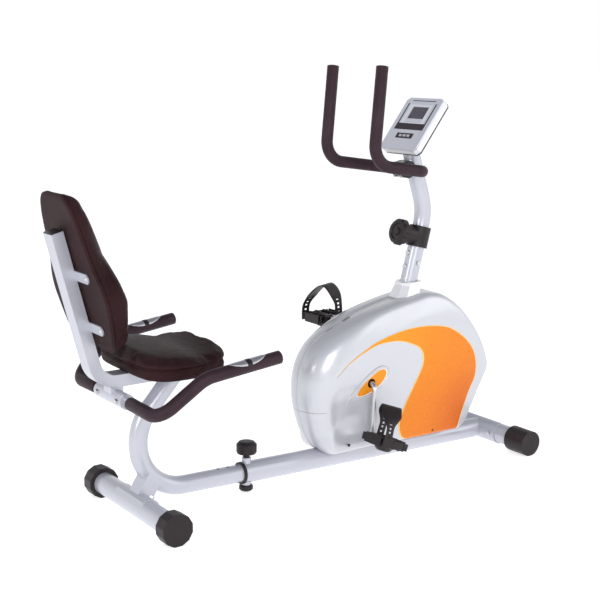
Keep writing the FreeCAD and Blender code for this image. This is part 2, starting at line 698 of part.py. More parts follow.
def seat_tube():
    path = seat_tube_path()
    tube = swept_tube(path, s.slide_tube_diameter / 2, s.tube_wall)
    rail_low = s.rail_height - s.rail_depth / 2
    tube = tube.cut(block(Vector(s.rear_x, 0, rail_low + 100), 200, 1000, 200))
    for step in range(-int(s.holes_behind), int(s.holes_ahead) + 1):
        knob = main_axis(s.knob_reach + step * s.hole_pitch)
        tube = tube.cut(cylinder(s.hole_diameter / 2, knob, knob + MAIN_UP * s.slide_tube_diameter))
    keep(feature("seat_tube", tube), "seat_tube")


def rear_saddle():
    """Square stub between the rear stabiliser's saddle plate and the seat tube."""
    out = rear_stub()
    radius = s.stabilizer_diameter / 2 + s.saddle_wall
    turn = Rotation(Z, out)
    middle = REAR_AXIS + out * (s.stub_length / 2)
    wall = 2 * s.stub_wall
    stub = block(middle, s.stub_width, s.stub_depth, s.stub_length, turn)
    stub = stub.cut(block(middle, s.stub_width - wall, s.stub_depth - wall, 2 * s.stub_length, turn))
    stub = stub.cut(swept(seat_tube_path(), s.slide_tube_diameter / 2 + s.press_gap))
    stub = stub.cut(cylinder(radius, REAR_AXIS - Y * 60, REAR_AXIS + Y * 60))
    stub = max(stub.Solids, key=lambda solid: solid.Volume)
    plate = saddle(REAR_AXIS, s.rear_saddle_length, out, 0.9, rear_bolt_seats())
    keep(feature("rear_saddle", plate.fuse(stub).removeSplitter()), "rear_saddle")


def rail_path():
    return bent_path([BACK_FOOT + BACK * s.back_length, BACK_FOOT, at(s.rail_front_reach, 0, s.rail_height)],
                     [s.rail_bend_radius])


def rail_solid(depth, width):
    """The seat rail and back tube as one rectangular bar."""
    path = rail_path()
    start = BACK_FOOT + BACK * s.back_length
    front = BACK_FRONT * (depth / 2)
    side = Y * (width / 2)
    profile = Part.makePolygon([start + front + side, start + front - side, start - front - side,
                                start - front + side, start + front + side])
    return path.makePipeShell([profile], True, False)


def back_frame():
    """Bent rectangular tube that carries the seat and the backrest."""
    wall = 2 * s.tube_wall
    tube = rail_solid(s.rail_depth, s.rail_width).cut(rail_solid(s.rail_depth - wall, s.rail_width - wall))
    keep(feature("back_frame", tube), "back_frame")


def bracket_seat(up, y=0):
    """A point on the back tube's front face."""
    return BACK_FOOT + BACK * up + BACK_FRONT * (s.rail_depth / 2) + Y * y


def backrest_brackets():
    """Two flat bars with round ends across the back tube."""
    bars = []
    for number, up in enumerate((s.bracket_low, s.bracket_high)):
        rotation = Rotation(Y, BACK, BACK_FRONT, "ZXY")
        body = new_body("bracket_%d" % number, bracket_seat(up), rotation=rotation)
        sketch = sketch_on(body, "bracket_%d_outline" % number)
        end = "sizes.bracket_length / 2"
        cut = end + " - 8"
        high = "sizes.bracket_height / 2"
        low = "-sizes.bracket_height / 2"
        outline(sketch, [("-(%s)" % cut, low), (cut, low), (end, low + " + 8"), (end, high + " - 8"),
                         (cut, high), ("-(%s)" % cut, high), ("-(%s)" % end, high + " - 8"),
                         ("-(%s)" % end, low + " + 8")])
        pad(body, sketch, "sizes.bracket_wall")
        holes = sketch_on(body, "bracket_%d_holes" % number)
        for sign in ("", "-"):
            ring(holes, "sizes.screw_diameter / 2 + sizes.bolt_clearance",
                 (sign + "sizes.screw_spread / 2", "0"))
        doc.recompute()
        pocket(body, holes)
        bars.append(body)
    keep(group("backrest_brackets", *bars), "backrest_brackets")


def back_screw_seats():
    """Where the screws' heads sit on the rear faces of the flat bars."""
    return [bracket_seat(up, side * s.screw_spread / 2)
            for up in (s.bracket_low, s.bracket_high) for side in SIDES]


def backrest_cushion():
    """Waisted pad in front of the flat bars, broad in the middle and narrow at the top."""
    base = BACK_FOOT + BACK * s.back_cushion_low
    base = base + BACK_FRONT * (s.rail_depth / 2 + s.bracket_wall + s.soft_gap)
    widths = [(0.0, 0.56), (0.06, 0.76), (0.2, 0.9), (0.37, 1.0), (0.5, 0.9), (0.64, 0.76), (0.8, 0.68),
              (0.93, 0.52), (1.0, 0.3)]
    half = s.back_cushion_width / 2
    right = [base + BACK * (up * s.back_cushion_height) - Y * (share * half) for up, share in widths]
    left = [base + BACK * (up * s.back_cushion_height) + Y * (share * half)
            for up, share in reversed(widths)]
    solid = smooth_face(right + left).extrude(BACK_FRONT * s.back_cushion_depth)
    for seat in back_screw_seats():
        radius = s.screw_diameter / 2 + s.bolt_clearance
        hole = Part.makeCylinder(radius, s.screw_hole_depth, seat, BACK_FRONT)
        solid = solid.cut(hole)
    keep(feature("backrest_cushion", solid), "backrest_cushion")


def pan_top():
    return s.rail_height + s.rail_depth / 2 + s.seat_pan_wall


def seat_screw_places():
    return [(reach, side * s.seat_pan_width * 0.38)
            for reach in (s.seat_screw_rear, s.seat_screw_front) for side in SIDES]


def seat_pan():
    """Steel plate welded on the rail, screwed to the seat cushion."""
    middle = (s.seat_cushion_rear + s.rail_front_reach) / 2 + s.seat_pan_lead
    centre = at(middle, 0, pan_top() - s.seat_pan_wall)
    body = new_body("seat_pan", centre)
    sketch = sketch_on(body, "seat_pan_outline")
    half_x = "sizes.seat_pan_length / 2"
    half_y = "sizes.seat_pan_width / 2"
    box_outline(sketch, "-" + half_x, half_x, "-" + half_y, half_y)
    pad(body, sketch, "sizes.seat_pan_wall")
    holes = sketch_on(body, "seat_pan_holes")
    for reach, y in seat_screw_places():
        place = (str(at(reach, 0, 0).x - centre.x), str(y))
        ring(holes, "sizes.screw_diameter / 2 + sizes.bolt_clearance", place)
    doc.recompute()
    pocket(body, holes)
    keep(body, "seat_pan")


def seat_cushion():
    """Saddle-shaped pad, wide at the back and narrower at the front."""
    low = pan_top() + s.soft_gap
    shares = [(0.0, 0.5), (0.05, 0.82), (0.2, 0.98), (0.45, 1.0), (0.65, 0.88), (0.85, 0.72),
              (0.97, 0.55), (1.0, 0.3)]
    half = s.seat_cushion_width / 2
    length = s.seat_cushion_length
    right = [at(s.seat_cushion_rear + along * length, -share * half, low) for along, share in shares]
    left = [at(s.seat_cushion_rear + along * length, share * half, low)
            for along, share in reversed(shares)]
    solid = smooth_face(right + left).extrude(Z * s.seat_cushion_depth)
    for reach, y in seat_screw_places():
        radius = s.screw_diameter / 2 + s.bolt_clearance
        solid = solid.cut(Part.makeCylinder(radius, s.screw_hole_depth, at(reach, y, low)))
    keep(feature("seat_cushion", solid), "seat_cushion")


def pulse_points(side):
    """One side of the pulse handlebar: from its grip's end down and back to the cross sleeve."""
    return [at(s.pulse_end_reach, side * s.pulse_outer, s.pulse_end_height),
            at(s.pulse_elbow_reach, side * (s.pulse_outer - 7), s.pulse_elbow_height),
            at(s.pulse_reach + 4, side * (s.pulse_outer - 41), s.pulse_height - 6),
            at(s.pulse_reach, side * 95, s.pulse_height)]


def pulse_path():
    """The pulse handlebar: across under the seat, then forward and up on both sides."""
    return bent_path(pulse_points(1) + pulse_points(-1)[::-1], [75, 56, 300, 300, 56, 75])


def pulse_bracket():
    """Cross sleeve that holds the pulse handlebar, on a web under the seat rail."""
    centre = at(s.pulse_reach, 0, s.pulse_height)
    half = Y * (s.pulse_sleeve_length / 2)
    rail_low = s.rail_height - s.rail_depth / 2
    web = block(centre + Z * ((rail_low - s.pulse_height) / 2), 44, 34, rail_low - s.pulse_height)
    sleeve = cylinder(s.pulse_sleeve_diameter / 2, centre - half, centre + half).fuse(web)
    sleeve = sleeve.cut(rail_solid(s.rail_depth + 2 * s.press_gap, s.rail_width + 2 * s.press_gap))
    sleeve = sleeve.cut(swept(pulse_path(), s.bar_diameter / 2 + s.press_gap))
    for seat, way in pulse_bolt_seats():
        sleeve = sleeve.cut(bolt_hole(seat, way, 8))
    keep(feature("pulse_bracket", sleeve.removeSplitter()), "pulse_bracket")


def pulse_bolt_seats():
    """Two bolts into the cross sleeve from behind."""
    rear = s.pulse_reach - s.pulse_sleeve_diameter / 2
    return [(at(rear, side * s.pulse_bolt_spread / 2, s.pulse_height), X) for side in SIDES]


def pulse_handlebar():
    """Steel bar, foam grips and contact plates."""
    keep(feature("pulse_bar", swept_tube(pulse_path(), s.bar_diameter / 2, s.tube_wall)), "pulse_bar")
    grips = []
    plates = []
    foam = s.grip_diameter / 2
    for side in SIDES:
        end, elbow = pulse_points(side)[:2]
        back = (elbow - end).normalize()
        path = bent_path(pulse_points(side), [75, 56])
        grips.append(swept(path, foam).cut(swept(path, s.bar_diameter / 2 + s.soft_gap)))
        start = end + back * s.sensor_setback
        stop = start + back * s.sensor_length
        plate = cylinder(foam + 0.2 + s.sensor_wall, start, stop).cut(cylinder(foam + 0.2, start, stop))
        middle = (start + stop) / 2
        plates.append(plate.common(block(middle + Z * (foam + 4), 60, 200, 2 * foam)))
    keep(feature("pulse_grips", Part.makeCompound(grips)), "pulse_grips")
    keep(feature("pulse_sensors", Part.makeCompound(plates)), "pulse_sensors")


def seat_bolts():
    """Bolts of the rear saddle and cross sleeve, and the screws of both cushions."""
    shanks = [bolt(seat, way, s.stabilizer_diameter) for seat, way in rear_bolt_seats()]
    wall = (s.pulse_sleeve_diameter - s.bar_diameter) / 2 - s.press_gap
    shanks += [bolt(seat, way, wall - 0.3) for seat, way in pulse_bolt_seats()]
    keep(feature("seat_bolts", Part.makeCompound(shanks)), "seat_bolts")
    screws = [screw(seat, BACK_FRONT, s.bracket_wall + 16) for seat in back_screw_seats()]
    under = pan_top() - s.seat_pan_wall
    screws += [screw(at(reach, y, under), Z, s.seat_pan_wall + 16) for reach, y in seat_screw_places()]
    keep(feature("cushion_screws", Part.makeCompound(screws)), "cushion_screws")


def screw(seat, direction, shank):
    """A round-headed screw whose head sits on the seat."""
    radius = s.screw_diameter / 2
    head = Part.makeCone(1.2 * radius, 2 * radius, 3.5, ORIGIN - Z * 3.5, Z)
    solid = head.fuse(Part.makeCylinder(radius, shank))
    solid.Placement = Placement(seat, Rotation(Z, direction))
    return solid


# ---------------------------------------------------------------- post
def post_point(along, back=0, y=0):
    """A point by its distance up the lower post's axis, and back from it."""
    return POST_FOOT + POST * along + POST_BACK * back + Y * y


def post_bolt_seats():
    """Two bolts behind the lower post and one on its right side."""
    radius = s.post_diameter / 2
    return [(post_point(s.post_joint - 57, radius), POST_BACK * -1),
            (post_point(s.post_joint - 98, radius), POST_BACK * -1),
            (post_point(s.post_joint - 82) - Y * radius, Y)]


def cable_hole(along):
    """A hole in the post's front wall that a cable comes out of."""
    start = post_point(along)
    return cylinder(5, start, start - POST_BACK * s.post_diameter)


def lower_post():
    """Post tube welded to the main tube, with the magnet arm's pivot lugs."""
    radius = s.post_diameter / 2
    tube = cylinder(radius, POST_FOOT, post_point(s.post_joint))
    pivot = magnet_point(s.magnet_pivot_angle, 0)
    lugs = []
    for side in SIDES:
        middle = side * (s.magnet_arm_width / 2 + 3)
        root = post_point((pivot - POST_FOOT).dot(POST))
        reach = (pivot - root).dot(POST_BACK * -1)
        centre = root - POST_BACK * (reach / 2) + Y * middle
        lugs.append(block(centre, 4, reach + 14, 16, Rotation(Z, POST)))
    tab_end = spring_top()
    root = post_point((tab_end - POST_FOOT).dot(POST))
    reach = tab_end.x + 6 - root.x
    lugs.append(block(Vector(tab_end.x + 6 - reach / 2, 0, tab_end.z + 1.5), 16, reach, 3))
    tube = tube.fuse(lugs)
    tube = tube.cut(cylinder(radius - s.tube_wall, POST_FOOT - POST * 50, post_point(s.post_joint + 50)))
    tube = tube.cut(cylinder(s.main_tube_diameter / 2 + s.press_gap,
                             POST_FOOT - MAIN * 200, POST_FOOT + MAIN * 200))
    tube = tube.cut(cylinder(s.magnet_pin, pivot - Y * 60, pivot + Y * 60))
    tube = tube.cut(cable_hole(s.cable_exit))
    tube = tube.cut(cylinder(4, post_point(s.wire_exit), post_point(s.wire_exit) + Y * s.post_diameter))
    tube = tube.cut(dial_cable_hole())
    for seat, way in post_bolt_seats():
        tube = tube.cut(bolt_hole(seat, way, s.post_diameter / 2 - 10))
    tube = max(tube.removeSplitter().Solids, key=lambda solid: solid.Volume)
    keep(feature("frame_post", tube), "frame_post")


def upper_post_points():
    """Joint, bend corner and top of the upper post's axis."""
    corner = post_point(s.post_bend_up)
    out = console_axis("out")
    rear = at(s.console_reach, 0, s.console_low) - out * s.console_depth
    run = (rear - corner).dot(out) / POST_TOP.dot(out)
    top = corner + POST_TOP * (run - 3 / abs(POST_TOP.dot(out)))
    return [post_point(s.post_joint + 0.3), corner, top]


def upper_post():
    """Bent post tube, with a spigot into the lower post and a plate for the console."""
    points = upper_post_points()
    radius = s.post_diameter / 2
    inner = radius - s.tube_wall
    out = console_axis("out")
    longer = points[:2] + [points[2] + POST_TOP * 60]
    path = bent_path(longer, [s.post_bend_radius])
    tube = swept_tube(path, radius, s.tube_wall)
    trim = block(points[2] + out * 100, 300, 300, 200, Rotation(Z, out))
    tube = tube.cut(trim)
    spigot = cylinder(inner - s.press_gap, post_point(s.post_joint - s.spigot_length),
                      post_point(s.post_joint + 28))
    ring_weld = cylinder(inner + 1, post_point(s.post_joint + 8), post_point(s.post_joint + 20))
    sleeve = spigot.fuse(ring_weld)
    sleeve = sleeve.cut(cylinder(inner - s.tube_wall, post_point(s.post_joint - 200),
                                 post_point(s.post_joint + 100)))
    plate = block(points[2] + out * 1.5, 60, 60, 3, Rotation(Z, out))
    plate = plate.cut(cylinder(8, points[2] - out * 20, points[2] + out * 20))
    solid = tube.fuse([sleeve, plate])
    for seat, way in post_bolt_seats():
        solid = solid.cut(bolt_hole(seat, way, s.post_diameter / 2 - 10))
    solid = solid.cut(dial_cable_hole())
    keep(feature("upper_post", solid.removeSplitter()), "upper_post")


def dial_cable_hole():
    """Hole from the tension control into the post."""
    return cylinder(s.cable_hole, post_point(HOUSING_MIDDLE), post_point(HOUSING_MIDDLE, s.post_diameter))


def frame_bolts():
    shanks = [bolt(seat, way, s.stabilizer_diameter + s.saddle_wall) for seat, way in saddle_bolt_seats()]
    shanks += [bolt(seat, way, 9) for seat, way in post_bolt_seats()]
    keep(feature("frame_bolts", Part.makeCompound(shanks)), "frame_bolts")


def tension_control():
    """Sleeve round the post joint with a neck behind it, and the dial that turns in the neck."""
    half = s.housing_length / 2
    low, high = post_point(HOUSING_MIDDLE - half), post_point(HOUSING_MIDDLE + half)
    neck_end = s.dial_face - s.dial_depth - 0.4
    sleeve = cylinder(s.housing_diameter / 2, low, high)
    neck = cylinder(s.neck_diameter / 2, post_point(HOUSING_MIDDLE), post_point(HOUSING_MIDDLE, neck_end))
    points = upper_post_points()
    path = bent_path([post_point(s.post_joint - 120)] + points[1:], [s.post_bend_radius])
    solid = sleeve.fuse(neck).cut(swept(path, s.post_diameter / 2 + s.press_gap))
    spindle = cylinder(5 + s.bearing_fit, post_point(HOUSING_MIDDLE, s.post_diameter / 2 + 8),
                       post_point(HOUSING_MIDDLE, s.dial_face))
    solid = solid.cut(spindle).cut(dial_cable_hole())
    keep(feature("tension_housing", solid.removeSplitter()), "tension_housing")
    dial_face = "sizes.dial_face"
    back = "sizes.dial_face - sizes.dial_depth"
    stem = "sizes.post_diameter / 2 + 22"
    rim = "sizes.dial_diameter / 2"
    scalloped_knob("tension_knob", post_point(HOUSING_MIDDLE), POST_BACK, "dial_diameter", [
        ("0", stem), ("5", stem), ("5", back), (rim + " - 4", back), (rim, back + " + 3"),
        (rim, dial_face + " - 8"), (rim + " - 5", dial_face + " - 2"), ("0.62 * " + rim, dial_face + " - 1"),
        ("0.58 * " + rim, dial_face + " - 4"), ("0.3 * " + rim, dial_face + " - 4"),
        ("0.26 * " + rim, dial_face), ("0", dial_face)], 9)


# ---------------------------------------------------------------- drive
def magnet_point(angle, rise):
    """A point round the flywheel's axis, on the magnet arm's middle line."""
    radius = s.flywheel_radius + s.magnet_gap + s.magnet_arm_wall / 2 + rise
    return FLYWHEEL + turned(X, angle) * radius


def tie_end():
    """Where the bottom bracket's tie meets the post's axis."""
    return post_point((CRANK - POST_FOOT).dot(POST) + s.tie_lead)


def crank_support():
    """Bottom bracket shell on its own tube, tied to the post."""
    half = Y * (s.shell_length / 2)
    shell = cylinder(s.shell_diameter / 2, CRANK - half, CRANK + half)
    foot = main_axis(s.crank_reach)
    column = cylinder(s.column_diameter / 2, foot, CRANK)
    tie = tie_end() - CRANK
    tie = block(CRANK + tie / 2, s.tie_width, tie.Length, s.tie_height, Rotation(X, tie))
    solid = shell.fuse([column, tie])
    solid = solid.cut(cylinder(s.shell_diameter / 2 - s.shell_wall, CRANK - Y * 60, CRANK + Y * 60))
    solid = solid.cut(cylinder(s.main_tube_diameter / 2 + s.press_gap, foot - MAIN * 200, foot + MAIN * 200))
    solid = solid.cut(cylinder(s.post_diameter / 2 + s.press_gap, POST_FOOT, post_point(s.post_joint)))
    solid = max(solid.removeSplitter().Solids, key=lambda piece: piece.Volume)
    keep(feature("crank_support", solid), "crank_support")


def crank_bearings():
    bearings = []
    for side in SIDES:
        body = new_body("bearing_" + ("right" if side < 0 else "left"),
                        CRANK + Y * (side * (s.shell_length / 2 - s.bearing_width / 2)), Y)
        sketch = sketch_on(body, body.Name + "_ring")
        ring(sketch, "sizes.shell_diameter / 2 - sizes.shell_wall - sizes.press_gap")
        ring(sketch, "sizes.crank_bar_diameter / 2 + sizes.bearing_fit")
        pad(body, sketch, "sizes.bearing_width", midplane=True)
        bearings.append(body)
    keep(group("crank_bearings", *bearings), "crank_bearings")


def crank_way(side):
    """Direction of a crank arm: the right arm hangs, the left one stands."""
    down = turned(-Z, -s.crank_tilt)
    return down if side < 0 else down * -1


def pedal_axis(side):
    """Centre of a pedal."""
    return CRANK + crank_way(side) * s.crank_length + Y * (side * s.pedal_offset)


def crankshaft():
    """One bent bar: pedal eye, arm, axle, arm, pedal eye."""
    ends = {}
    for side in SIDES:
        ends[side] = CRANK + crank_way(side) * s.crank_length + Y * (side * s.crank_eye_offset)
    points = [ends[-1], CRANK - Y * s.crank_bend, CRANK + Y * s.crank_bend, ends[1]]
    solid = swept(bent_path(points, [20, 20]), s.crank_bar_diameter / 2)
    for side in SIDES:
        half = Y * (s.crank_eye_length / 2)
        solid = solid.fuse(cylinder(s.crank_eye_diameter / 2, ends[side] - half, ends[side] + half))
        solid = solid.cut(cylinder(s.spindle_diameter / 2 + s.press_gap,
                                   ends[side] - Y * 30, ends[side] + Y * 30))
    keep(feature("crankshaft", solid.removeSplitter()), "crankshaft")


def drive_pulley():
    """Flanged pulley with round windows, pressed on the crankshaft."""
    body = new_body("drive_pulley", CRANK + Y * s.belt_plane, Y)
    rim = "sizes.drive_radius"
    wide = "sizes.pulley_width / 2"
    bore = "sizes.crank_bar_diameter / 2 + sizes.press_gap"
    hub = "sizes.pulley_hub"
    revolved(body, [(bore, "-(%s)" % wide), (hub, "-(%s)" % wide), (hub + " + 4", "-3"),
                    (rim + " - 14", "-3"), (rim + " - 12", "-(%s)" % wide), (rim, "-(%s)" % wide),
                    (rim, wide), (rim + " - 12", wide), (rim + " - 14", "3"), (hub + " + 4", "3"),
                    (hub, wide), (bore, wide)])
    doc.recompute()
    windows = sketch_on(body, "drive_pulley_window")
    ring(windows, "sizes.pulley_window / 2", ("sizes.drive_radius * 0.55", "0"))
    cut = pocket(body, windows)
    doc.recompute()
    round_array(body, cut, windows, 6)
    keep(body, "drive_pulley")


def flywheel():
    """Heavy rim, thin web and a hub that ends in the small pulley."""
    body = new_body("flywheel", FLYWHEEL, Y)
    bore = "sizes.flywheel_axle / 2 + sizes.bearing_fit"
    wide = "sizes.flywheel_width / 2"
    rim = "sizes.flywheel_radius"
    near = "sizes.belt_plane - sizes.pulley_width / 2"
    far = "sizes.belt_plane + sizes.pulley_width / 2"
    revolved(body, [(bore, "-(%s)" % wide), ("20", "-(%s)" % wide), ("24", "-5"), (rim + " - 34", "-5"),
                    (rim + " - 30", "-(%s)" % wide), (rim, "-(%s)" % wide), (rim, wide),
                    (rim + " - 30", wide), (rim + " - 34", "5"), ("24", "5"), ("18", wide), ("18", near),
                    ("sizes.small_radius", near), ("sizes.small_radius", far), (bore, far)])
    keep(body, "flywheel")


def flywheel_fork():
    """Two plates on a base over the main tube, that hold the flywheel's axle."""
    low = s.shell_low + s.shell_skin + 1
    tube = main_axis(s.flywheel_reach)
    middle = (s.fork_left + s.fork_right) / 2
    height = s.flywheel_height + s.fork_above - low
    plates = [block(at(s.flywheel_reach, y, low + height / 2), s.fork_wall, s.fork_width, height)
              for y in (s.fork_right, s.fork_left)]
    base = block(at(s.flywheel_reach, middle, low + s.fork_base / 2),
                 s.fork_left - s.fork_right, s.fork_width, s.fork_base)
    base_top = low + s.fork_base
    web = block(at(s.flywheel_reach, 0, (tube.z + base_top) / 2), 36, s.fork_width, base_top - tube.z)
    solid = base.fuse(plates + [web])
    solid = solid.cut(cylinder(s.main_tube_diameter / 2 + s.press_gap, tube - MAIN * 200, tube + MAIN * 200))
    solid = solid.cut(cylinder(s.flywheel_axle / 2 + s.press_gap, FLYWHEEL - Y * 100, FLYWHEEL + Y * 100))
    solid = max(solid.removeSplitter().Solids, key=lambda piece: piece.Volume)
    keep(feature("flywheel_fork", solid), "flywheel_fork")


def flywheel_axle():
    """Axle with a nut outside each fork plate."""
    half = s.fork_wall / 2
    right, left = s.fork_right - half, s.fork_left + half
    solid = cylinder(s.flywheel_axle / 2, FLYWHEEL + Y * (right - 8), FLYWHEEL + Y * (left + 8))
    for y in (right - 6, left):
        nut = cylinder(9, FLYWHEEL + Y * y, FLYWHEEL + Y * (y + 6))
        solid = solid.fuse(nut)
    keep(feature("flywheel_axle", solid.removeSplitter()), "flywheel_axle")


def belt_face(grow):
    """Face inside a taut loop round both pulleys, that far outside them."""
    large, small = s.drive_radius + grow, s.small_radius + grow
    span = FLYWHEEL - CRANK
    lean = math.degrees(math.asin((large - small) / span.Length))
    along = math.degrees(math.atan2(span.z, span.x))
    big_face = Part.Face(Part.Wire(Part.Circle(CRANK, Y, large).toShape()))
    small_face = Part.Face(Part.Wire(Part.Circle(FLYWHEEL, Y, small).toShape()))
    normals = [turned(X, along + sign * (90 - lean)) for sign in (1, -1)]
    corners = [CRANK + normals[0] * large, FLYWHEEL + normals[0] * small,
               FLYWHEEL + normals[1] * small, CRANK + normals[1] * large]
    middle = Part.Face(Part.makePolygon(corners + corners[:1]))
    return big_face, small_face, middle


def belt_solid(grow, width):
    start = Y * (s.belt_plane - width / 2)
    pieces = [face.translated(start).extrude(Y * width) for face in belt_face(grow)]
    return pieces[0].fuse(pieces[1:]).removeSplitter()


def drive_belt():
    solid = belt_solid(s.belt_wall + 0.3, s.belt_width).cut(belt_solid(0.3, s.belt_width + 10))
    keep(feature("drive_belt", solid), "drive_belt")


def magnet_arm():
    """Curved arm over the flywheel's rim with three magnets under it, on a pivot behind."""
    inner = s.flywheel_radius + s.magnet_gap
    half = Y * (s.magnet_arm_width / 2)
    band = cylinder(inner + s.magnet_arm_wall, FLYWHEEL - half, FLYWHEEL + half)
    band = band.cut(cylinder(inner, FLYWHEEL - half * 2, FLYWHEEL + half * 2))
    reach = 2 * inner
    wedge = Part.Face(Part.makePolygon([
        FLYWHEEL, FLYWHEEL + turned(X, s.magnet_pivot_angle) * reach, FLYWHEEL + turned(X, 92) * reach,
        FLYWHEEL + turned(X, s.magnet_tip_angle) * reach, FLYWHEEL])).extrude(half * 4)
    arm = band.common(wedge.translated(half * -2))
    pivot = magnet_point(s.magnet_pivot_angle, 0)
    arm = arm.fuse(cylinder(7, pivot - half, pivot + half))
    for angle in (s.magnet_tip_angle + 9, s.magnet_tip_angle + 27, s.magnet_tip_angle + 45):
        out = turned(X, angle)
        arm = arm.fuse(block(FLYWHEEL + out * (inner - 1), s.magnet_arm_width - 8, s.magnet_length,
                             s.magnet_wall, Rotation(Z, out)))
    arm = arm.fuse(cylinder(s.magnet_pin - s.bearing_fit, pivot - half - Y * 7, pivot + half + Y * 7))
    keep(feature("magnet_arm", arm.removeSplitter()), "magnet_arm")


def spring_foot():
    """Where the return spring stands on the magnet arm."""
    return magnet_point(s.magnet_pivot_angle - 23, s.magnet_arm_wall / 2 + 1)


def spring_top():
    """Underside of the post's tab that the return spring hangs from."""
    return spring_foot() + Z * s.spring_length


def return_spring():
    """Coil that lifts the magnet arm off the flywheel."""
    wire = 0.7
    turns = 9
    height = s.spring_length - 0.6 - 2 * wire
    helix = Part.Wire(Part.makeHelix(height / turns, height, 4).Edges)
    section = Part.Wire(Part.Circle(Vector(4, 0, 0), Y, wire).toShape())
    coil = helix.makePipeShell([section], True, True)
    coil.Placement = Placement(spring_foot() + Z * wire, Rotation())
    keep(feature("return_spring", coil), "return_spring")


def tension_cable():
    """Cable from the tension control down the post to the magnet arm."""
    anchor = magnet_point(s.magnet_tip_angle + 22, s.magnet_arm_wall / 2 + 0.4)
    points = [post_point(HOUSING_MIDDLE, s.post_diameter / 2 + 21.5), post_point(HOUSING_MIDDLE, 6),
              post_point(HOUSING_MIDDLE - 60), post_point(s.cable_exit),
              post_point(s.cable_exit, -s.post_diameter / 2 - 18), anchor + Z * 30, anchor]
    solid = swept(bent_path(points, [10, 40, 16, 20, 14]), s.cable_diameter / 2)
    keep(feature("tension_cable", solid), "tension_cable")


def speed_sensor():
    """Pickup on the bottom bracket's tie, its lead up the inside of the post to the console's board."""
    tie = (tie_end() - CRANK).normalize()
    place = CRANK + tie * 58 + Y * 28
    pickup = block(place, 16, 14, 20, Rotation(X, tie))
    points = upper_post_points()
    out = console_axis("out")
    board = points[2] + out * (3 + s.console_depth - s.bezel_depth - 4.4)
    lead_top = place + Z * 44
    beside = Y * -5
    route = [board + beside, points[2] + beside, post_point(s.post_bend_up) + beside,
             post_point(s.wire_exit) + beside, post_point(s.wire_exit) + Y * 34,
             Vector(lead_top.x, 34, lead_top.z), Vector(place.x, 34, place.z)]
    lead = swept(bent_path(route, [14, 150, 14, 10, 10]), s.wire_diameter / 2)
    keep(feature("speed_sensor", pickup.fuse(lead)), "speed_sensor")


# ---------------------------------------------------------------- pedals
def pedal_turn(side):
    return Rotation(Y, s.pedal_tilt) if side < 0 else Rotation()


def pedal_body(label, side):
    """Pedal with two treads on a middle barrel, in its own frame: Y along the spindle."""
    half_y = "sizes.pedal_width / 2"
    half_x = "sizes.pedal_length / 2"
    body = new_body(label, pedal_axis(side), rotation=pedal_turn(side))
    plan = sketch_on(body, label + "_plan")
    cut = half_x + " - sizes.pedal_nose"
    near = half_y + " - sizes.pedal_taper"
    outline(plan, [("-(%s)" % cut, "-(%s)" % half_y), (cut, "-(%s)" % half_y), (half_x, "-(%s)" % near),
                   (half_x, near), (cut, half_y), ("-(%s)" % cut, half_y),
                   ("-(%s)" % half_x, near), ("-(%s)" % half_x, "-(%s)" % near)])
    pad(body, plan, "sizes.pedal_height", midplane=True)
    doc.recompute()
    windows = sketch_on(body, label + "_windows")
    near = "sizes.pedal_barrel / 2"
    far = near + " + sizes.pedal_slot"
    side_rim = half_y + " - sizes.pedal_rim"
    box_outline(windows, near, far, "-(%s)" % side_rim, side_rim)
    box_outline(windows, "-(%s)" % far, "-(%s)" % near, "-(%s)" % side_rim, side_rim)
    pocket(body, windows)
    doc.recompute()
    bore = sketch_on(body, label + "_bore", "XZ_Plane")
    ring(bore, "sizes.spindle_diameter / 2 + sizes.bearing_fit")
    pocket(body, bore)
    return keep(body, label)


def strap(label, side):
    """Arched strap over the foot. It slants, so its outer leg is behind its inner one."""
    foot = s.pedal_width / 2 + s.strap_gap
    top = s.pedal_height / 2
    shoulder = top + s.strap_shoulder
    crown = top + s.strap_rise
    half_crown = s.strap_crown / 2
    wall = s.strap_wall
    outer = [(-foot - wall, -top), (-foot - wall, shoulder), (-half_crown, crown), (half_crown, crown),
             (foot + wall, shoulder), (foot + wall, -top)]
    inner = [(foot, -top), (foot, shoulder - 1), (half_crown - 1, crown - wall),
             (1 - half_crown, crown - wall), (-foot, shoulder - 1), (-foot, -top)]
    corners = [Vector(s.strap_middle - s.strap_slant * side * y - s.strap_width / 2, y, z)
               for y, z in outer + inner + outer[:1]]
    band = Part.Face(Part.makePolygon(corners)).extrude(X * s.strap_width)
    band = band.cut(cylinder(s.spindle_diameter / 2 + 1, Y * -100, Y * 100))
    band.Placement = Placement(pedal_axis(side), pedal_turn(side)).multiply(band.Placement)
    keep(feature(label, band), label)


def pedals():
    """Each side has a spindle in the crank arm, a pedal that turns on it and a strap."""
    spindles = []
    for side, name in zip(SIDES, ("right", "left")):
        pedal_body("pedal_" + name, side)
        strap("pedal_strap_" + name, side)
        middle = pedal_axis(side)
        inner = middle - Y * (side * (s.pedal_offset - s.crank_eye_offset + s.crank_eye_length / 2))
        outer = middle + Y * (side * (s.pedal_width / 2 - 4))
        spindles.append(cylinder(s.spindle_diameter / 2, inner, outer))
    keep(feature("pedal_spindles", Part.makeCompound(spindles)), "pedal_spindles")


# ---------------------------------------------------------------- drive shell
def shell_points():
    """The drive shell's outline as reach and height about the crank axis, from rear to front."""
    offsets = [(-130, -200), (-166, -157), (-192, -98), (-207, -28), (-200, 48), (-168, 112), (-121, 142),
               (-50, 174), (22, 198), (96, 211), (170, 224), (235, 230), (288, 221), (336, 189),
               (381, 140), (424, 78), (452, 22), (462, -16), (447, -44), (424, -88), (398, -142),
               (380, -178), (352, -200)]
    return [Vector(CRANK.x + x, 0, CRANK.z + z) for x, z in offsets]


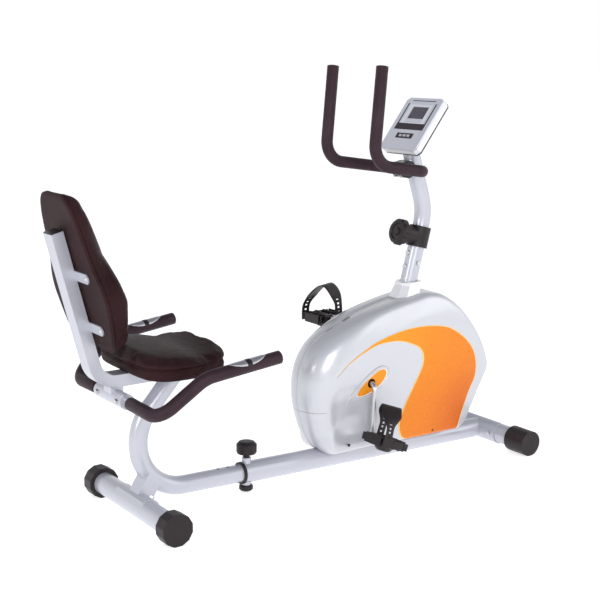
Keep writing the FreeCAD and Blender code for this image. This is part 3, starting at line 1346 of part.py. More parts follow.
def shell_section(inset, y):
    """The outline drawn in by the inset, its underside left in place, at that Y."""
    points = shell_points()
    moved = []
    for index, point in enumerate(points):
        before = points[max(index - 1, 0)]
        after = points[min(index + 1, len(points) - 1)]
        inward = (after - before).cross(Y).normalize() * -inset
        if index in (0, len(points) - 1):
            inward = Vector(inward.x, 0, 0)
        place = point + inward
        moved.append(Vector(place.x, y, place.z))
    curve = Part.BSplineCurve()
    curve.interpolate(moved)
    return Part.Wire([curve.toShape(), Part.LineSegment(moved[-1], moved[0]).toShape()])


def shell_solid(side, thinner):
    """Half of the drive shell as a solid, its edges rounded in steps by a formula."""
    radius = s.shell_edge - thinner
    flat = s.shell_half - s.shell_edge
    sections = [shell_section(thinner, 0)]
    for turn in range(0, 91, 15):
        angle = math.radians(turn)
        sections.append(shell_section(thinner + radius * (1 - math.cos(angle)),
                                      side * (flat + radius * math.sin(angle))))
    return Part.makeLoft(sections, True, True)


def shell_openings():
    """What passes through the drive shell."""
    slot_start, slot_end = s.crank_reach - 24, s.flywheel_reach + s.fork_width / 2 + 4
    slot = block(at((slot_start + slot_end) / 2, 0, s.shell_low), 46, slot_end - slot_start, 20)
    return [cylinder(s.crank_bar_diameter / 2 + 4, CRANK - Y * 120, CRANK + Y * 120), slot,
            cylinder(s.main_tube_diameter / 2 + 0.3, POST_FOOT - MAIN * 500, POST_FOOT + MAIN * 500),
            cylinder(s.post_diameter / 2 + 1, POST_FOOT, post_point(s.post_joint))]


def screw_places():
    """Reach and height of the screws through each side of the drive shell."""
    return [(s.crank_reach - 78, s.crank_height - 172), (s.crank_reach + 235, s.crank_height - 182)]


def drive_shell():
    """Two hollow halves that meet on the middle plane."""
    for side, name in zip(SIDES, ("right", "left")):
        solid = shell_solid(side, 0)
        hollow = shell_solid(side, s.shell_skin).translated(Y * (-side * 0.01))
        solid = solid.cut(hollow)
        for opening in shell_openings():
            solid = solid.cut(opening)
        for reach, height in screw_places():
            hole = cylinder(s.shell_screw + 0.4, at(reach, side * 40, height), at(reach, side * 120, height))
            solid = solid.cut(hole)
        solid = max(solid.Solids, key=lambda piece: piece.Volume)
        keep(feature("shroud_" + name, solid), "shroud_" + name)


def side_panels():
    """Coloured crescent on each side of the drive shell."""
    tail = (-122, 33)
    upper = [(-20, 100), (108, 139), (222, 142), (321, 114), (392, 49), (404, -38), (381, -90), (350, -162)]
    lower = [(116, -170), (102, -145), (120, -95), (150, -45), (179, 2), (192, 34), (188, 68), (146, 96),
             (90, 112), (34, 110), (-20, 94)]
    panels = []
    for side in SIDES:
        y = side * (s.shell_half + 0.1)
        rise = [Vector(CRANK.x + x, y, CRANK.z + z) for x, z in [tail] + upper]
        fall = [Vector(CRANK.x + x, y, CRANK.z + z) for x, z in lower + [tail]]
        top, low = Part.BSplineCurve(), Part.BSplineCurve()
        top.interpolate(rise)
        low.interpolate(fall)
        edge = Part.LineSegment(rise[-1], fall[0]).toShape()
        face = Part.Face(Part.Wire([top.toShape(), edge, low.toShape()]))
        panels.append(face.extrude(Y * (side * s.panel_wall)))
    keep(feature("side_panels", Part.makeCompound(panels)), "side_panels")


def crank_covers():
    """Leaf-shaped cover round the crank axle on each side."""
    leaf = [(-47, -32), (-37, -8), (-8, 18), (21, 34), (43, 38), (54, 32), (51, 13), (29, -11),
            (0, -27), (-29, -35)]
    covers = []
    for side in SIDES:
        y = side * (s.shell_half + 0.1)
        points = [Vector(CRANK.x + x, y, CRANK.z + z) for x, z in leaf]
        cover = smooth_face(points).extrude(Y * (side * s.cover_wall))
        covers.append(cover.cut(cylinder(s.crank_bar_diameter / 2 + 4, CRANK - Y * 120, CRANK + Y * 120)))
    keep(feature("crank_covers", Part.makeCompound(covers)), "crank_covers")


def shroud_screws():
    screws = []
    for side in SIDES:
        for reach, height in screw_places():
            seat = at(reach, side * (s.shell_half + 0.05), height)
            head = Part.makeCone(4.5, 3.2, 2, seat, Y * side)
            shank = Part.makeCylinder(s.shell_screw, 9, seat, Y * -side)
            screws.append(head.fuse(shank))
    keep(feature("shroud_screws", Part.makeCompound(screws)), "shroud_screws")


def post_collar():
    """Faceted boot where the post leaves the drive shell."""
    sections = []
    foot = (s.collar_top - s.collar_depth, s.collar_foot_length / 2, s.collar_foot_width / 2,
            s.collar_setback)
    head = (s.collar_top, s.collar_head_length / 2, s.collar_head_width / 2, 0)
    for along, half_x, half_y, setback in (foot, head):
        centre = post_point(along, setback)
        corner = s.collar_corner * half_y
        points = []
        for x, y in ((1, 1), (-1, 1), (-1, -1), (1, -1)):
            first = centre + X * (x * (half_x - corner)) + Y * (y * half_y)
            second = centre + X * (x * half_x) + Y * (y * (half_y - corner))
            points += [first, second] if x * y < 0 else [second, first]
        sections.append(Part.makePolygon(points + points[:1]))
    solid = Part.makeLoft(sections, True, True)
    for side in SIDES:
        solid = solid.cut(shell_solid(side, -0.1))
    solid = solid.cut(cylinder(s.post_diameter / 2 + 0.3, POST_FOOT, post_point(s.post_joint)))
    solid = max(solid.Solids, key=lambda piece: piece.Volume)
    keep(feature("post_collar", solid), "post_collar")


# ---------------------------------------------------------------- handlebar
def bar_points(side):
    """Tip, heel and cross corner of the handlebar on one side."""
    return [at(s.bar_tip_reach, side * s.bar_half_width, s.bar_tip_height),
            at(s.bar_heel_reach, side * s.bar_half_width, s.bar_heel_height),
            at(s.bar_hinge_reach, side * s.bar_half_width, s.bar_hinge_height)]


def handlebar():
    bends = [s.bar_heel_radius, s.bar_cross_radius]
    path = bent_path(bar_points(1) + bar_points(-1)[::-1], bends + bends[::-1])
    keep(feature("handlebar", swept_tube(path, s.bar_diameter / 2, s.tube_wall)), "handlebar")
    grips = []
    for side in SIDES:
        points = bar_points(side) + [BAR_HINGE + Y * (side * (s.clamp_width / 2 + 4))]
        path = bent_path(points, bends)
        grips.append(swept(path, s.grip_diameter / 2).cut(swept(path, s.bar_diameter / 2 + s.soft_gap)))
    keep(feature("handlebar_grips", Part.makeCompound(grips)), "handlebar_grips")


def handlebar_clamp():
    """Split clamp on the back of the upper post."""
    half = Y * (s.clamp_width / 2)
    points = upper_post_points()
    solid = cylinder(s.clamp_radius, BAR_HINGE - half, BAR_HINGE + half)
    arm = block(BAR_HINGE + X * 22, s.clamp_width, 44, 42, Rotation(Z, POST_TOP))
    solid = solid.fuse(arm)
    path = bent_path(points, [s.post_bend_radius])
    solid = solid.cut(swept(path, s.post_diameter / 2 + s.press_gap))
    solid = solid.cut(cylinder(s.bar_diameter / 2 + s.bearing_fit,
                               BAR_HINGE - half * 3, BAR_HINGE + half * 3))
    solid = min(solid.removeSplitter().Solids, key=lambda piece: piece.CenterOfMass.x)
    keep(feature("handlebar_clamp", solid), "handlebar_clamp")


# ---------------------------------------------------------------- console
def console_axis(way):
    """Directions on the console's face: up it, or out of it towards the rider."""
    up = turned(X, s.console_rise)
    return up if way == "up" else turned(X, s.console_rise + 90)


def console_body(label, depth):
    """A body on the console's face: X to the rider's right, Y up the face, Z out of it."""
    rotation = Rotation(-Y, console_axis("up"), console_axis("out"), "XYZ")
    origin = at(s.console_reach, 0, s.console_low) + console_axis("out") * depth
    return new_body(label, origin, rotation=rotation)


def face_outline(sketch, inset):
    wide = "(sizes.console_width / 2 - %s)" % inset
    corner = "(sizes.console_width / 2 - sizes.console_corner)"
    low, high = inset, "(sizes.console_length - %s)" % inset
    low_in, high_in = "sizes.console_corner", "(sizes.console_length - sizes.console_corner)"
    outline(sketch, [("-" + corner, low), (corner, low), (wide, low_in), (wide, high_in), (corner, high),
                     ("-" + corner, high), ("-" + wide, high_in), ("-" + wide, low_in)])


def console_case():
    """Rear half of the console, a tray."""
    body = console_body("console_case", -s.console_depth)
    outside = sketch_on(body, "console_case_outside")
    face_outline(outside, "0")
    pad(body, outside, "sizes.console_depth - sizes.bezel_depth")
    doc.recompute()
    inside = sketch_on(body, "console_case_inside")
    inside.AttachmentOffset = Placement(Vector(0, 0, 3), Rotation())
    face_outline(inside, "3")
    pocket(body, inside, "sizes.console_depth", reverse=True)
    doc.recompute()
    lead = sketch_on(body, "console_case_lead")
    points = upper_post_points()
    along = (points[2] - at(s.console_reach, 0, s.console_low)).dot(console_axis("up"))
    ring(lead, "8", ("0", str(round(along, 3))))
    pocket(body, lead)
    keep(body, "console_case")


def console_face():
    """Front of the console, with a window and the buttons' holes."""
    body = console_body("console_face", 0)
    outside = sketch_on(body, "console_face_outside")
    face_outline(outside, "0")
    pad(body, outside, "sizes.bezel_depth", reverse=True)
    doc.recompute()
    holes = sketch_on(body, "console_face_holes")
    half = "sizes.screen_width / 2"
    box_outline(holes, "-" + half, half, "sizes.screen_up - sizes.screen_height / 2",
                "sizes.screen_up + sizes.screen_height / 2")
    for place in (-1, 0, 1):
        middle = "%d * sizes.button_pitch" % place
        wide = "(sizes.button_width / 2 + sizes.button_gap)"
        tall = "(sizes.button_height / 2 + sizes.button_gap)"
        box_outline(holes, middle + " - " + wide, middle + " + " + wide, "sizes.button_up - " + tall,
                    "sizes.button_up + " + tall)
    pocket(body, holes)
    keep(body, "console_face")


def console_lens():
    body = console_body("console_lens", -2)
    sketch = sketch_on(body, "console_lens_outline")
    half = "(sizes.screen_width / 2 - 0.1)"
    tall = "(sizes.screen_height / 2 - 0.1)"
    box_outline(sketch, "-" + half, half, "sizes.screen_up - " + tall, "sizes.screen_up + " + tall)
    pad(body, sketch, "2", reverse=True)
    keep(body, "console_lens")


def console_board():
    """Circuit board behind the face."""
    body = console_body("console_board", -s.bezel_depth - 2.5)
    sketch = sketch_on(body, "console_board_outline")
    half = "(sizes.console_width / 2 - 5)"
    box_outline(sketch, "-" + half, half, "12", "sizes.console_length - 12")
    pad(body, sketch, "1.6", reverse=True)
    keep(body, "console_board")


def console_buttons():
    for number, place in enumerate((-1, 0, 1), start=1):
        label = "console_button_%d" % number
        body = console_body(label, 1.5)
        sketch = sketch_on(body, label + "_outline")
        middle = "%d * sizes.button_pitch" % place
        box_outline(sketch, middle + " - sizes.button_width / 2", middle + " + sizes.button_width / 2",
                    "sizes.button_up - sizes.button_height / 2", "sizes.button_up + sizes.button_height / 2")
        pad(body, sketch, "sizes.bezel_depth + 2", reverse=True)
        keep(body, label)


# ---------------------------------------------------------------- build
def build():
    stabilizer("rear_stabilizer", REAR_AXIS, "sizes.rear_tube_length", rear_bolt_seats())
    stabilizer("front_stabilizer", FRONT_AXIS, "sizes.front_tube_length", saddle_bolt_seats())
    end_caps("rear_end_caps", REAR_AXIS, s.rear_tube_length, "sizes.rear_cap_length", faceted)
    front_caps()
    front_saddle()
    main_tube()
    tube_bushing()
    knobs()
    seat_tube()
    rear_saddle()
    back_frame()
    backrest_brackets()
    backrest_cushion()
    seat_pan()
    seat_cushion()
    pulse_bracket()
    pulse_handlebar()
    seat_bolts()
    lower_post()
    upper_post()
    frame_bolts()
    tension_control()
    crank_support()
    crank_bearings()
    crankshaft()
    drive_pulley()
    flywheel()
    flywheel_fork()
    flywheel_axle()
    drive_belt()
    magnet_arm()
    tension_cable()
    return_spring()
    speed_sensor()
    pedals()
    drive_shell()
    side_panels()
    crank_covers()
    shroud_screws()
    post_collar()
    handlebar()
    handlebar_clamp()
    console_case()
    console_face()
    console_lens()
    console_board()
    console_buttons()


def check():
    """Stops before anything is written if an object failed."""
    doc.recompute()
    faults = [item.Label for item in doc.Objects if {"Invalid", "Error"} & set(item.State)]
    faults += [item.Label for item in subparts if item.Shape.isNull() or not item.Shape.isValid()]
    if faults:
        raise RuntimeError("failed: " + ", ".join(faults))


def write():
    os.makedirs("parts", exist_ok=True)
    for item in subparts:
        item.Shape.exportStep(os.path.join("parts", item.Label + ".step"))
        print(item.Label, len(item.Shape.Solids), round(item.Shape.Volume / 1000, 1))


build()
check()
write()
print(len(subparts), "sub-parts")
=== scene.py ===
"""Looks of the recumbent exercise bike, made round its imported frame.

Everything is in metres in the frame's own axes: +X forward, +Y to the rider's left, +Z up.
Places called a reach are millimetres forward of the rear stabiliser's axis.
"""
import json
import math

import bmesh
import bpy
import numpy as np
from mathutils import Matrix, Vector, kdtree
from mathutils.bvhtree import BVHTree


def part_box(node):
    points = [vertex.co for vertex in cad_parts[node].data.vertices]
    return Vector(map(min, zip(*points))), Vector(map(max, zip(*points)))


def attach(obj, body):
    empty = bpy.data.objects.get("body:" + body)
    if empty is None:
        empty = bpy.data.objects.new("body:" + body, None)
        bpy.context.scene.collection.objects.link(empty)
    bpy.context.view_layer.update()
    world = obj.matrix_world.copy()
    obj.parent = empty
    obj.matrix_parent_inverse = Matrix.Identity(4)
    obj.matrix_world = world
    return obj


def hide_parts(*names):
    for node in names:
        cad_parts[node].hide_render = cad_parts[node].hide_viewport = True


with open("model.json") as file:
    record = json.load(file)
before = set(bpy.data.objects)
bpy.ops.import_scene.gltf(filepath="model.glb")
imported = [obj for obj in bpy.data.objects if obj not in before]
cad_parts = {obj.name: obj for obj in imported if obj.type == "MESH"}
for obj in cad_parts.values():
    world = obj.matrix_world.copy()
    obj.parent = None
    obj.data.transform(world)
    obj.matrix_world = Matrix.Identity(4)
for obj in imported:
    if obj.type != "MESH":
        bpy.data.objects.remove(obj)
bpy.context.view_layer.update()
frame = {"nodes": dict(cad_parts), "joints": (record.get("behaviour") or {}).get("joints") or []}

MM = 0.001
SEAM_HIGH = 0.210
X, Y, Z = Vector((1, 0, 0)), Vector((0, 1, 0)), Vector((0, 0, 1))
SIDES = {"right": -1, "left": 1}
JOINTS = {joint["name"]: joint for joint in frame["joints"]}
REAR_X = sum(corner.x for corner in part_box("rear_stabilizer")) / 2
CRANK = Vector(JOINTS["crank_spin"]["pos_m"])


def at(reach, across, height):
    """A point from its reach, its place across and its height, in millimetres."""
    return Vector((REAR_X + reach * MM, across * MM, height * MM))


def srgb(red, green, blue):
    """A colour for the shaders from the 0 to 255 numbers of a colour chart."""
    shares = (channel / 255 for channel in (red, green, blue))
    return tuple(c / 12.92 if c <= 0.04045 else ((c + 0.055) / 1.055) ** 2.4 for c in shares)


# ---------------------------------------------------------------- shader sums
class Wire:
    """The output of a shader node, used like a number in Python sums."""

    def __init__(self, finish, socket):
        self.finish = finish
        self.socket = socket

    def sum(self, operation, first, second):
        return self.finish.node("Math", {"operation": operation}, {0: first, 1: second})

    def __add__(self, other):
        return self.sum("ADD", self, other)

    def __sub__(self, other):
        return self.sum("SUBTRACT", self, other)

    def __rsub__(self, other):
        return self.sum("SUBTRACT", other, self)

    def __mul__(self, other):
        return self.sum("MULTIPLY", self, other)

    __radd__ = __add__
    __rmul__ = __mul__


class Finish:
    """A material, or the studio's sky, under construction."""

    def __init__(self, owner):
        self.owner = owner
        owner.use_nodes = True
        self.tree = owner.node_tree
        self.tree.nodes.clear()

    def node(self, kind, settings=None, sockets=None, output=0):
        """Adds a node: its settings first, then the values or links of its sockets."""
        made = self.tree.nodes.new("ShaderNode" + kind)
        for name, value in (settings or {}).items():
            if name == "stops":
                self.set_stops(made.color_ramp.elements, value)
            else:
                setattr(made, name, value)
        for name, value in (sockets or {}).items():
            if isinstance(value, Wire):
                self.tree.links.new(value.socket, made.inputs[name])
            else:
                made.inputs[name].default_value = value
        return Wire(self, made.outputs[output]) if made.outputs else None

    @staticmethod
    def set_stops(elements, stops):
        while len(elements) < len(stops):
            elements.new(1.0)
        for element, (place, colour) in zip(elements, stops):
            element.position = place
            element.color = (*colour, 1.0)

    def place(self, stretch=(1, 1, 1)):
        """The point on the piece, stretched."""
        point = self.node("TexCoord", output="Object")
        return self.node("Mapping", None, {"Vector": point, "Scale": stretch})

    def axis(self, name):
        """One coordinate of the point on the piece."""
        return self.node("SeparateXYZ", None, {0: self.place()}, output=name)

    def noise(self, scale, detail=3.0, roughness=0.5, stretch=(1, 1, 1)):
        sockets = {"Vector": self.place(stretch), "Scale": scale, "Detail": detail, "Roughness": roughness}
        return self.node("TexNoise", None, sockets)

    def cells(self, scale, feature="F1", stretch=(1, 1, 1)):
        sockets = {"Vector": self.place(stretch), "Scale": scale}
        return self.node("TexVoronoi", {"feature": feature}, sockets, "Distance")

    def ramp(self, value, low, high, start=0.0, end=1.0):
        """The value taken from one range to another, and held at the ends."""
        return self.node("MapRange", {"interpolation_type": "SMOOTHSTEP"}, {0: value, 1: low, 2: high, 3: start, 4: end})

    def mix(self, share, first, second, blend="MIX"):
        """A colour between two colours."""
        first, second = (c if isinstance(c, Wire) else (*c, 1.0) for c in (first, second))
        settings = {"data_type": "RGBA", "blend_type": blend}
        return self.node("Mix", settings, {0: share, 6: first, 7: second}, output=2)

    def surface(self, colour, roughness, height=None, depth=0.2, **constants):
        """Joins the shader to the output. The height, in shares of the depth in millimetres, is a bump."""
        sockets = {"Base Color": colour if isinstance(colour, Wire) else (*colour, 1.0), "Roughness": roughness}
        sockets.update({name.replace("_", " "): value for name, value in constants.items()})
        if height is not None:
            sockets["Normal"] = self.node("Bump", None, {"Strength": 1.0, "Distance": depth * MM, "Height": height})
        shader = self.node("BsdfPrincipled", None, sockets)
        self.node("OutputMaterial", None, {"Surface": shader})
        return self.owner


def new_finish(name):
    return Finish(bpy.data.materials.new(name))


# ---------------------------------------------------------------- finishes
def powder_coat(name, colour, metallic=0.35, roughness=0.3):
    """Silver-grey gloss powder coat: fine flake, slight orange peel, faint handling marks."""
    f = new_finish(name)
    flake = f.noise(2600, 1.0)
    cloud = f.noise(7, 4.0)
    peel = f.noise(210, 2.0)
    light = tuple(min(1.0, c * 1.08) for c in colour)
    dark = tuple(c * 0.9 for c in colour)
    tone = f.mix(f.ramp(flake, 0.35, 0.65), dark, light)
    tone = f.mix(cloud * 0.3, tone, light)
    rough = cloud * 0.07 + (roughness - 0.035)
    return f.surface(tone, rough, peel, 0.012, Metallic=metallic, Coat_Weight=0.35, Coat_Roughness=0.12)


def plated(name, colour, roughness, stretch=(1, 1, 1)):
    """Plated or turned steel: streaks along the cut, dulled a little in clouds."""
    f = new_finish(name)
    streak = f.noise(500, 3.0, 0.6, stretch)
    cloud = f.noise(30, 3.0)
    dark = tuple(c * 0.9 for c in colour)
    tone = f.mix(f.ramp(streak, 0.3, 0.7), dark, colour)
    rough = cloud * 0.12 + roughness
    return f.surface(tone, rough, streak, 0.003, Metallic=1.0)


def moulded(name, colour, roughness=0.42, grain=1300, depth=0.05, light=1.6):
    """Moulded plastic with a fine spark-eroded grain and faint rub marks."""
    f = new_finish(name)
    pits = f.noise(grain, 2.0, 0.6)
    cloud = f.noise(22, 4.0)
    tone = f.mix(f.ramp(pits, 0.3, 0.75), tuple(c * 0.75 for c in colour), tuple(c * 1.2 for c in colour))
    tone = f.mix(f.ramp(cloud, 0.5, 0.8, 0.0, 0.35), tone, tuple(min(1.0, c * light) for c in colour))
    rough = f.ramp(cloud, 0.3, 0.75, roughness + 0.08, roughness - 0.05)
    return f.surface(tone, rough, pits, depth, Specular_IOR_Level=0.35)


def shell_silver(name, colour):
    """Silver gloss moulding of the drive shell, with a fine flake and the joint of its lower rear panel."""
    f = new_finish(name)
    flake = f.noise(900, 1.0)
    joint = f.node("Math", {"operation": "ABSOLUTE"}, {0: f.axis("Z") - SEAM_HIGH})
    behind = f.ramp(f.axis("X"), CRANK.x - 0.150, CRANK.x - 0.145, 1.0, 0.0)
    groove = f.ramp(joint, 0.4 * MM, 1.2 * MM, 1.0, 0.0) * behind
    tone = f.mix(f.ramp(flake, 0.3, 0.7), tuple(c * 0.985 for c in colour), colour)
    tone = f.mix(groove * 0.6, tone, (0.12, 0.12, 0.14))
    return f.surface(tone, 0.28, groove * -1.0, 0.4, Metallic=0.3, Coat_Weight=0.5, Coat_Roughness=0.1)


def panel_orange():
    """Orange gloss, yellower behind and above and deeper towards the front; painted shade darkens it to a deep red at
    the lower edge.
    """
    f = new_finish("orange_gloss")
    low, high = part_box("side_panels")
    across = f.ramp(f.axis("X"), low.x, high.x)
    # Painted shade: the panel darkens towards its lower edge, into the deep red of the last stop.
    low_shade = f.ramp(f.axis("Z"), high.z, low.z)
    hue_and_shade = across * 0.55 + low_shade * 0.35 + f.noise(9, 2.0) * 0.1
    stops = [(0.0, srgb(236, 156, 6)), (0.4, srgb(230, 134, 2)), (0.75, srgb(222, 116, 4)), (1.0, srgb(196, 78, 6))]
    tone = f.node("ValToRGB", {"stops": stops}, {"Fac": hue_and_shade})
    flake = f.noise(2600, 1.0)
    tone = f.mix(f.ramp(flake, 0.3, 0.7, 0.0, 0.1), tone, srgb(250, 190, 80))
    rough = f.ramp(f.noise(40, 2.0), 0.3, 0.7, 0.22, 0.32)
    return f.surface(tone, rough, flake, 0.015, Metallic=0.1, Coat_Weight=0.15, Coat_Roughness=0.1,
                     Specular_IOR_Level=0.3)


def vinyl(name="brown_black_vinyl"):
    """Grained upholstery vinyl, the creases between its pebbles dark and dull."""
    f = new_finish(name)
    pebble = f.cells(620, "DISTANCE_TO_EDGE", (1, 1, 1))
    fine = f.noise(1500, 3.0, 0.6)
    wrinkle = f.noise(45, 4.0, 0.55)
    cloud = f.noise(8, 3.0)
    crease = f.ramp(pebble, 0.0, 0.16)
    tone = f.mix(crease, srgb(14, 6, 7), srgb(50, 28, 30))
    tone = f.mix(f.ramp(cloud, 0.35, 0.7, 0.0, 0.35), tone, srgb(64, 38, 42))
    rough = f.ramp(crease + wrinkle * 0.4, 0.2, 1.2, 0.58, 0.4)
    height = crease * 0.5 + fine * 0.12 + wrinkle * 0.9
    return f.surface(tone, rough, height, 0.35, Specular_IOR_Level=0.07)


def closed_foam():
    """Closed-cell foam: open pores on a soft dull skin."""
    f = new_finish("brown_black_foam")
    pore = f.cells(1150)
    fuzz = f.noise(420, 4.0, 0.65)
    cloud = f.noise(16, 3.0)
    tone = f.mix(f.ramp(pore, 0.15, 0.6), srgb(22, 12, 17), srgb(52, 34, 42))
    tone = f.mix(f.ramp(cloud, 0.35, 0.75, 0.0, 0.3), tone, srgb(66, 46, 54))
    return f.surface(tone, f.ramp(fuzz, 0.3, 0.7, 0.42, 0.55), pore * 0.55 + fuzz * 0.6, 0.16,
                     Specular_IOR_Level=0.2)


FACE_LEAN = math.radians(52.4)
FACE_UP = Vector((math.cos(FACE_LEAN), 0, math.sin(FACE_LEAN)))
FACE_OUT = Vector((-math.sin(FACE_LEAN), 0, math.cos(FACE_LEAN)))
FACE_FOOT = at(865, 0, 937)


def face_rise(f):
    """How far up the console's face a point is, in millimetres."""
    along = f.node("VectorMath", {"operation": "DOT_PRODUCT"}, {0: f.place(), 1: FACE_UP}, "Value")
    return (along - FACE_FOOT.dot(FACE_UP)) * (1 / MM)


def printed(f, rise, low, high, near, far):
    """Share of printing on the face: 1 between two rises and between two distances from the middle."""
    across = f.node("Math", {"operation": "ABSOLUTE"}, {0: f.axis("Y")}) * (1 / MM)
    band = f.ramp(rise, low - 0.3, low + 0.3) * f.ramp(rise, high - 0.3, high + 0.3, 1.0, 0.0)
    return band * f.ramp(across, near - 0.3, near + 0.3) * f.ramp(across, far - 0.3, far + 0.3, 1.0, 0.0)


def window_glass():
    """Window over the display: a dark field in a light border."""
    f = new_finish("display_glass")
    field = printed(f, face_rise(f), 108, 149, -1, 35)
    rows = f.ramp(f.noise(260, 1.0, 0.5, (1, 1, 0.2)), 0.45, 0.6, 0.0, 0.5)
    tone = f.mix(rows, srgb(70, 62, 72), srgb(88, 80, 90))
    tone = f.mix(field, srgb(200, 202, 212), tone)
    return f.surface(tone, 0.14, f.noise(30), 0.01, Coat_Weight=0.5)


def face_print():
    """The console's face: silver, with dark bars beside the window, under it and round the keys."""
    f = new_finish("console_print")
    rise = face_rise(f)
    dark = printed(f, rise, 168, 171, -1, 52) + printed(f, rise, 90, 160, 57.5, 63.5)
    dark = dark + printed(f, rise, 68, 90, -1, 64) + printed(f, rise, 38, 56, -1, 37)
    frame_light = printed(f, rise, 90, 156, -1, 50)
    flake = f.noise(2200, 1.0)
    tone = f.mix(f.ramp(flake, 0.3, 0.7), srgb(196, 198, 208), srgb(206, 208, 217))
    tone = f.mix(frame_light, tone, srgb(222, 223, 230))
    tone = f.mix(dark, tone, srgb(42, 32, 38))
    return f.surface(tone, 0.35, flake * 0.03 + dark, 0.03, Metallic=0.15)


def case_white():
    """White console case with a dark joint round its back."""
    f = new_finish("console_white")
    out = f.node("VectorMath", {"operation": "DOT_PRODUCT"}, {0: f.place(), 1: FACE_OUT}, "Value")
    depth = (out - FACE_FOOT.dot(FACE_OUT)) * (1 / MM)
    back = f.ramp(depth, -23.5, -22.8, 1.0, 0.0)
    tone = f.mix(f.noise(900, 2.0), srgb(228, 229, 234), srgb(240, 240, 244))
    return f.surface(f.mix(back, tone, srgb(40, 34, 40)), 0.35, f.noise(900, 2.0), 0.01, Coat_Weight=0.3)


def printed_board():
    f = new_finish("board_green")
    tracks = f.cells(260, "DISTANCE_TO_EDGE")
    tone = f.mix(f.ramp(tracks, 0.02, 0.08), srgb(20, 95, 50), srgb(12, 62, 36))
    return f.surface(tone, 0.4, tracks, 0.03)


def studio_white():
    """The pale floor."""
    f = new_finish("pale_floor")
    tone = f.mix(f.noise(3, 2.0), (0.86, 0.86, 0.87), (0.89, 0.89, 0.89))
    return f.surface(tone, 0.85, Emission_Color=(1, 1, 1, 1), Emission_Strength=0.62)


paint = powder_coat("silver_powder_coat", (0.50, 0.51, 0.57))
silver = shell_silver("silver_moulding", (0.58, 0.59, 0.63))
white_line = shell_silver("white_moulding", (0.82, 0.82, 0.85))
orange = panel_orange()
orange_edge = moulded("yellow_edge", srgb(252, 205, 120), 0.3, 1600, 0.02, 1.1)
chrome = plated("bright_plating", (0.6, 0.6, 0.63), 0.28)
turned = plated("turned_steel", (0.55, 0.55, 0.57), 0.28, (1, 12, 1))
cast = plated("turned_cast_iron", (0.2, 0.2, 0.21), 0.4, (1, 10, 1))
zinc = plated("zinc_plating", (0.66, 0.66, 0.67), 0.24)
black = moulded("black_moulding", srgb(30, 22, 25))
gloss_black = moulded("black_gloss", srgb(34, 29, 33), 0.2, 900, 0.01)
grip = closed_foam()
hide = vinyl()
glass = window_glass()
keys = moulded("grey_keys", srgb(190, 190, 198), 0.35, 1500, 0.02, 1.1)
belt = moulded("belt_rubber", srgb(26, 26, 27), 0.6, 700, 0.1)
board = printed_board()
SLOT_FINISH = {"frame_paint": paint, "bright_steel": chrome, "machined_steel": turned, "cast_rim": cast,
               "zinc_bolts": zinc, "black_plastic": black, "silver_shell": silver, "orange_panel": orange,
               "board_green": board, "clear_lens": glass, "key_light": keys, "foam": grip, "vinyl": hide,
               "belt_rubber": belt}


def paint_frame():
    """Gives every CAD node the finish of its slot in the record, and the console its own."""
    special = {"console_face": face_print(), "console_case": case_white(), "shroud_screws": gloss_black}
    for name, node in frame["nodes"].items():
        for slot in node.material_slots:
            slot.material = special.get(name) or SLOT_FINISH[slot.material.name.split(".")[0]]


# ---------------------------------------------------------------- curves and meshes
def even_points(points, count, closed=False):
    """Points evenly spaced along a line of points."""
    line = np.vstack([points, points[:1]]) if closed else np.array(points)
    run = np.concatenate([[0], np.cumsum(np.linalg.norm(np.diff(line, axis=0), axis=1))])
    places = np.linspace(0, run[-1], count + closed)[:count]
    return np.stack([np.interp(places, run, line[:, k]) for k in range(line.shape[1])], 1)


def smooth_curve(keys, count, closed=False):
    """Even points on a smooth curve through the keys."""
    keys = np.array(keys, float)
    if closed:
        keys = np.vstack([keys[-1:], keys, keys[:2]])
    else:
        keys = np.vstack([2 * keys[:1] - keys[1:2], keys, 2 * keys[-1:] - keys[-2:-1]])
    fine = []
    for p0, p1, p2, p3 in zip(keys, keys[1:], keys[2:], keys[3:]):
        for t in np.linspace(0, 1, 16, endpoint=False):
            fine.append(0.5 * (2 * p1 + (p2 - p0) * t + (2 * p0 - 5 * p1 + 4 * p2 - p3) * t * t
                               + (3 * p1 - p0 - 3 * p2 + p3) * t ** 3))
    if not closed:
        fine.append(keys[-2])
    return even_points(np.array(fine), count, closed)


def rounded_path(corners, radii, step=4 * MM):
    """A line of points through the corners, each turned by its radius."""
    points = [corners[0]]
    for before, corner, after, radius in zip(corners, corners[1:], corners[2:], radii):
        back, on = (before - corner).normalized(), (after - corner).normalized()
        half = back.angle(on) / 2
        centre = corner + (back + on).normalized() * (radius / math.sin(half))
        arm = corner + back * (radius / math.tan(half)) - centre
        turn = math.pi - 2 * half
        count = max(4, round(radius * turn / step))
        axis = on.cross(back)
        points += [centre + Matrix.Rotation(turn * i / count, 3, axis) @ arm for i in range(count + 1)]
    return points + [corners[-1]]


def grid(rows, columns, wrap=False):
    """Faces of a grid of points, its columns joined round if it wraps."""
    faces = []
    for r in range(rows - 1):
        for c in range(columns - (not wrap)):
            right = (c + 1) % columns
            faces.append((r * columns + c, r * columns + right, (r + 1) * columns + right, (r + 1) * columns + c))
    return faces


